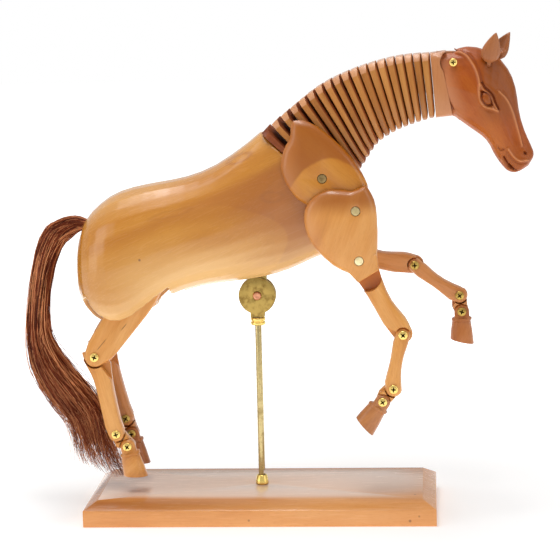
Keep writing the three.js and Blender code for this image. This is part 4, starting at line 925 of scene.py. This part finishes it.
LOWER_LIP = [(148.0, 216.0), (150.3, 212.0), (152.6, 209.2)]
# What is done along them: line, height, width, how dark their painted shade and how pale their painted highlight get.
CARVED_LINES = [
    (LID, 0.95, 0.75, 0, 0.5), (LID_LOWER, 0.8, 0.7, 0, 0.5), (LID_OUTER, -1.1, 0.6, 0.85, 0),
    (LID_INNER, -1.0, 0.55, 0.85, 0), (EYE_LOWER, -0.8, 0.5, 0.75, 0),
    (RIDGE, 1.15, 0.9, 0, 0.6), (RIDGE_FOOT, -0.5, 0.8, 0.4, 0),
    (FACE_CREST, 0.8, 0.8, 0, 0.6), (FACE_FOOT, -0.25, 0.8, 0.1, 0),
    (MOUTH, -1.6, 0.6, 0.95, 0), (MOUTH_FRONT, -1.4, 0.9, 1.0, 0), (MOUTH_CURL, -0.6, 0.5, 0.5, 0),
    (UPPER_LIP, 0.8, 0.8, 0, 0.6), (LIP_FOOT, -0.3, 0.6, 0.2, 0), (LOWER_LIP, 0.4, 0.6, 0, 0.5),
    (JAW_GROOVE, -0.7, 0.55, 0.8, 0),
]
# Domes and hollows: x, z, half length, half width, lean, height, power of the slope, how dark their painted shade
# gets. They are the eye socket, the eyeball, the temple, the nose, the jaw, the nostril and its rim.
CARVED_DOMES = [
    (140.6, 253.0, 9.5, 6.2, -62, -1.1, 1.0, 0), (139.2, 252.7, 4.0, 3.2, -66, 1.9, 0.5, 0),
    (146, 266, 14, 8, -55, -1.1, 1.0, 0), (152, 238, 15, 4.5, -70, -0.8, 1.0, 0), (127, 256, 15, 11, 70, 0.9, 1.0, 0),
    (162.3, 219.4, 1.5, 1.0, -50, -1.6, 1.0, 0.95), (162.0, 219.6, 3.6, 2.8, -50, 0.5, 1.0, 0),
]
# Where the top of the head starts at the poll block, as X and Z. The carving fades in from there.
HEAD_START = (120.8, 284.0)
# The head's faces next to the poll block lie behind this X.
HEAD_REAR = 123.5


def line_distance(points, line):
    """How far each point of an array is from a smooth line through the given points."""
    best = np.full(len(points), 1e9)
    steps = 6 * len(line) - 6
    line = [along(line, step / steps) for step in range(steps + 1)]
    for a, b in zip(line[:-1], line[1:]):
        d = b - a
        t = np.clip(((points - a) @ d) / (d @ d), 0, 1)
        best = np.minimum(best, np.linalg.norm(points - (a + t[:, None] * d), axis=1))
    return best


def carve_head(piece):
    """Carves eyes, lids, brow and cheek ridges, nostrils and mouth into both sides, and stores painted shade for the
    cuts and a painted highlight for the crests.
    """
    mesh = piece.data
    place, normal = points_of(mesh), points_of(mesh, "normal")
    flat = place[:, [0, 2]] / MM
    # The second array gathers the painted shade of the cuts, the third the painted highlight of the crests.
    lift, painted_shade, light = np.zeros((3, len(place)))
    for line, height, width, dark, pale in CARVED_LINES:
        share = np.exp(-(line_distance(flat, line) / width) ** 2)
        lift += height * share
        painted_shade = np.maximum(painted_shade, dark * share)
        light = np.maximum(light, pale * share ** 3)
    for middle_x, middle_z, long, short, lean, height, power, dark in CARVED_DOMES:
        c, s = math.cos(math.radians(lean)), math.sin(math.radians(lean))
        x, z = flat[:, 0] - middle_x, flat[:, 1] - middle_z
        u, v = (x * c + z * s) / long, (-x * s + z * c) / short
        share = np.clip(1 - u * u - v * v, 0, 1) ** power
        lift += height * share
        painted_shade = np.maximum(painted_shade, dark * share)
    start = np.hypot(flat[:, 0] - HEAD_START[0], flat[:, 1] - HEAD_START[1])
    side = np.clip((np.abs(normal[:, 1]) - 0.12) / 0.3, 0, 1) * (np.abs(place[:, 1]) > 4.5 * MM)
    side *= np.clip((start - 2.5) / 2.5, 0, 1)
    lift *= side
    # The top of the head starts level with the poll block.
    lift -= 1.1 * np.clip(1 - start / 7.0, 0, 1) ** 1.5
    # The edges next to the poll block close up to it.
    lift += 0.3 * np.clip((-normal[:, 0] - 0.45) / 0.3, 0, 1) * (flat[:, 0] < HEAD_REAR)
    move_points(mesh, place + normal * (lift * MM)[:, None])
    store(mesh, "carved_shade", painted_shade * side)
    store(mesh, "carved_highlight", light * side * (1 - painted_shade))


# ---- metal ----

# The metals: name, tone, worn tone, roughness, lathe lines, tarnish, bevel, and their nodes.
METALS = [
    ("rod_brass", (190, 172, 122), (146, 124, 74), 0.2, 0.0, 0.5, 0.1, ("support_rod",)),
    ("bright_brass", (236, 206, 120), (168, 128, 60), 0.18, 0.6, 0.35, 0.1, ("hinge_collar", "base_ferrule")),
    ("tarnished_brass", (170, 142, 78), (112, 86, 40), 0.28, 0.0, 0.6, 0.2,
     ("hinge_cheek_near", "hinge_cheek_far", "belly_lug")),
    ("copper_rivet", (214, 150, 116), (150, 96, 70), 0.26, 0.0, 0.35, 0.1, ("hinge_rivet",)),
    # The three pin metals are one metal, painted with a dark, a middling and a bright reflection.
    ("pin_metal", (150, 126, 84), (96, 78, 48), 0.42, 0.0, 0.6, 0.15, ("shoulder_pin_near", "shoulder_pin_far")),
    ("arm_pin_metal", (188, 170, 124), (138, 120, 78), 0.42, 0.0, 0.5, 0.15, ("arm_pin_near", "arm_pin_far")),
    ("pale_pin_metal", (236, 222, 176), (190, 172, 120), 0.45, 0.0, 0.4, 0.15, ("elbow_pin_near", "elbow_pin_far")),
]


def dress_metal():
    for *look, bevel, members in METALS:
        material = metal(*look)
        for name in members:
            refined(name, material, bevel=bevel)


# The profile of a screw head of radius 1, from its foot to its top, as radius and height.
SCREW_PROFILE = [(1.0, 0.0), (1.0, 0.16), (0.97, 0.24), (0.90, 0.30), (0.78, 0.35), (0.60, 0.40), (0.40, 0.43),
                 (0.20, 0.445)]
SCREW_SIDES = 64
# The cross: how far its arms reach, half their width at the tip, and where two arms meet.
CROSS_REACH = 0.60
CROSS_TIP = 0.09
CROSS_ROOT = 0.17
# The cross as sizes and heights, and the height that its faces stay under.
CROSS_PROFILE = [(0.55, 0.06), (1.0, 0.42), (1.06, 0.6)]
CROSS_TOP = 0.425
# Each screw is turned by so much more than the one before.
FIRST_TURN = 12
NEXT_TURN = 37
POLL_TURN = 4


def screw_mesh():
    """A domed screw head of radius 1 that looks along +Z, with a cross cut into it. The cut faces have index 1."""
    outline = []
    for c, s in circle(4):
        for x, y in ((CROSS_REACH, -CROSS_TIP), (CROSS_REACH, CROSS_TIP), (CROSS_ROOT, CROSS_ROOT)):
            outline.append((x * c - y * s, x * s + y * c))
    shapes = (circle(SCREW_SIDES), SCREW_PROFILE), (outline, CROSS_PROFILE)
    head, cutter = (
        new_object("screw", tube("screw", [[(x * size, y * size, z) for x, y in loop] for size, z in profile]))
        for loop, profile in shapes)
    modify(head, "BOOLEAN", operation="DIFFERENCE", solver="EXACT", object=cutter)
    mesh = baked(head)
    for piece in (head, cutter):
        bpy.data.objects.remove(piece)
    for face in mesh.polygons:
        middle = face.center
        inside = math.hypot(middle.x, middle.y) < CROSS_REACH and middle.z < CROSS_TOP
        dome = face.normal.z > 0.9 and middle.z > 0.3
        face.material_index = 1 if inside and not dome else 0
    return mesh


def cross_screw(name, master, centre, radius, body, materials, turn):
    """A copy of the master screw head at its place, turned by turn degrees, looking towards -Y."""
    mesh = master.copy()
    mesh.name = name
    mesh.transform(Matrix.Translation(centre) @ Matrix.Rotation(math.pi / 2, 4, "X")
                   @ Matrix.Rotation(math.radians(turn), 4, "Z") @ Matrix.Scale(radius * MM, 4))
    cut = [face.material_index for face in mesh.polygons]
    new_piece(name, mesh, materials[0], body, smooth=False)
    mesh.materials.append(materials[1])
    mesh.polygons.foreach_set("material_index", cut)
    smooth_faces(mesh, SCREW_CREASE)


def build_screws():
    """A cross screw on each half-lap of the legs and on the poll."""
    bright = bpy.data.materials["bright_brass"]
    recess = metal("recess_shadow", (70, 52, 20), (40, 28, 10), 0.6, 0.0, 0.5)
    # The far screws: the brass painted darker as shade.
    far_shaded_brass = metal("far_screw_shaded_brass", (190, 160, 84), (120, 94, 38), 0.32, 0.0, 0.6)
    refined("poll_screw", bright, bare=[(poll_seat(), (POLL_SCREW_RADIUS + SCREW_CLEARANCE) * MM)])
    master = screw_mesh()
    turn = FIRST_TURN
    for side, material in (("near", bright), ("far", far_shaded_brass)):
        for joint, (carrier, depth) in SCREWS.items():
            turn += NEXT_TURN
            cross_screw(f"{joint}_screw_{side}", master, screw_seat(f"{joint}_{side}", depth),
                        SCREW_RADIUS, f"{carrier}_{side}", (material, recess), turn % 90)
    cross_screw("poll_screw_head", master, poll_seat(), POLL_SCREW_RADIUS, "head", (bright, recess), POLL_TURN)


# ---- tail ----

# The outer and the inner edge of the tail from the rump down, as X and Z, and half its depth.
TAIL_OUTER = [(-103, 181.2), (-109, 183.6), (-115.9, 183.9), (-124, 181), (-130, 176.9), (-136.3, 164.4),
              (-141.2, 142.5), (-144, 119.3), (-143.7, 100.6), (-139.7, 84.1), (-129.9, 66.4), (-121.1, 54.5),
              (-117.5, 39.1), (-115.5, 28.3), (-111, 20.5)]
TAIL_INNER = [(-103, 176.5), (-106, 176.8), (-111, 175.2), (-116, 171.6), (-120.1, 167.6), (-126.3, 155),
              (-129.8, 140), (-131.8, 119.1), (-128.9, 105.1), (-118.6, 89.8), (-107.4, 76.8), (-99.7, 65),
              (-95.0, 50), (-89.5, 34), (-82.5, 20.5)]
TAIL_DEPTH = [3.4, 4.2, 5.2, 6.0, 6.8, 7.6, 8.4, 8.8, 8.8, 8.6, 8.4, 8.0, 7.4, 6.6, 5.6]
STRANDS = 1000
STRAND_STEPS = 26
STRAND_SIDES = 3
LOCKS = 14
# How far down the tail a strand ends, how much less at the outer edge, and the share of loose strands.
STRAND_END = 0.89
OUTER_SHORTER = 0.055
LOOSE_SHARE = 0.18
# The core under the strands: rings, sides, where it ends, where it starts to taper, its width and its loss.
CORE_ROWS = 30
CORE_SIDES = 14
CORE_END = 0.88
CORE_TAPER = 0.6
CORE_WIDTH = 0.86
CORE_LOSS = 0.82
# The core's tone: dark, as painted shade between the strands.
CORE_PAINTED_SHADE = 0.15


def tail_point(share, across, depth):
    """A point of the tail: share down its length, across from -1 inside to 1 outside, and depth from -1 to 1."""
    outer, inner = along(TAIL_OUTER, share), along(TAIL_INNER, share)
    x, z = (outer + inner) / 2 + (outer - inner) / 2 * across
    return Vector((x, float(along(TAIL_DEPTH, share)) * depth, z)) * MM


def strand_points(path, width):
    """The points of a thin tube along a path, which gets thinner towards its end."""
    points = []
    last = len(path) - 1
    corners = circle(STRAND_SIDES)
    for index, spot in enumerate(path):
        ahead = (path[min(index + 1, last)] - path[max(index - 1, 0)]).normalized()
        side = ahead.cross(Vector((0.3, 1, 0.1))).normalized()
        other = ahead.cross(side)
        radius = width * (1 - 0.75 * (index / last) ** 3)
        points += [spot + (side * c + other * s) * radius for c, s in corners]
    return points


def build_hair(material):
    """The strands of the tail. Towards their ends they gather into locks."""
    rng = np.random.default_rng(7)
    points, faces, shades = [], [], []
    locks = []
    for number in range(LOCKS):
        angle = 2 * math.pi * number / LOCKS + rng.uniform(-0.2, 0.2)
        reach = rng.uniform(0.35, 0.85)
        locks.append((math.cos(angle) * reach, math.sin(angle) * reach))
        # A draw that nothing uses. Without it all draws after it would change.
        rng.uniform(0.92, 1.0)
    for number in range(STRANDS):
        radius = math.sqrt(rng.uniform(0.05, 1.0)) if number % 3 else rng.uniform(0.86, 1.0)
        angle = rng.uniform(0, 2 * math.pi)
        across, depth = radius * math.cos(angle), radius * math.sin(angle)
        lock = min(locks, key=lambda k: (k[0] - across) ** 2 + (k[1] - depth) ** 2)
        end = min(1.0, (STRAND_END - OUTER_SHORTER * across) * rng.uniform(0.91, 1.11))
        phase, swing = rng.uniform(0, 6.28, 2), rng.uniform(0.04, 0.20)
        loose = rng.uniform(0, 1) < LOOSE_SHARE
        path = []
        for step in range(STRAND_STEPS):
            share = end * step / (STRAND_STEPS - 1)
            pull = 0.45 * max(0.0, share - 0.45) ** 1.4 / 0.43
            a = across + (lock[0] - across) * pull + swing * math.sin(phase[0] + share * 15)
            d = depth + (lock[1] - depth) * pull + swing * math.sin(phase[1] + share * 13)
            if loose:
                a *= 1 + 0.35 * share
                d *= 1 + 0.25 * share
            path.append(tail_point(share, a, d))
        faces += tube_faces(STRAND_STEPS, STRAND_SIDES, len(points))
        points += strand_points(path, rng.uniform(0.15, 0.30) * MM)
        shades += [rng.uniform(0, 1)] * (STRAND_STEPS * STRAND_SIDES)
    mesh = mesh_of("tail_hair", points, faces)
    store(mesh, "shade", shades)
    hair = new_piece("tail_hair", mesh, material, "trunk")
    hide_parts("tail")


def build_core(material):
    """A core that fills the tail between its strands, painted dark as shade."""
    rings = []
    for row in range(CORE_ROWS + 1):
        share = CORE_END * row / CORE_ROWS
        keep = CORE_WIDTH - CORE_LOSS * max(0.0, share - CORE_TAPER) / (CORE_END - CORE_TAPER)
        rings.append([tail_point(share, keep * c, keep * s) for c, s in circle(CORE_SIDES)])
    mesh = tube("tail_core", rings)
    store(mesh, "shade", [CORE_PAINTED_SHADE] * len(mesh.vertices))
    new_piece("tail_core", mesh, material, "trunk")


build_camera()
for light in LIGHTS:
    soft_box(*light)
build_world()
build_floor()
bpy.context.scene.view_settings.view_transform = "Standard"
dress_wood()
dress_metal()
build_screws()
hair_look = hair_material()
build_hair(hair_look)
build_core(hair_look)
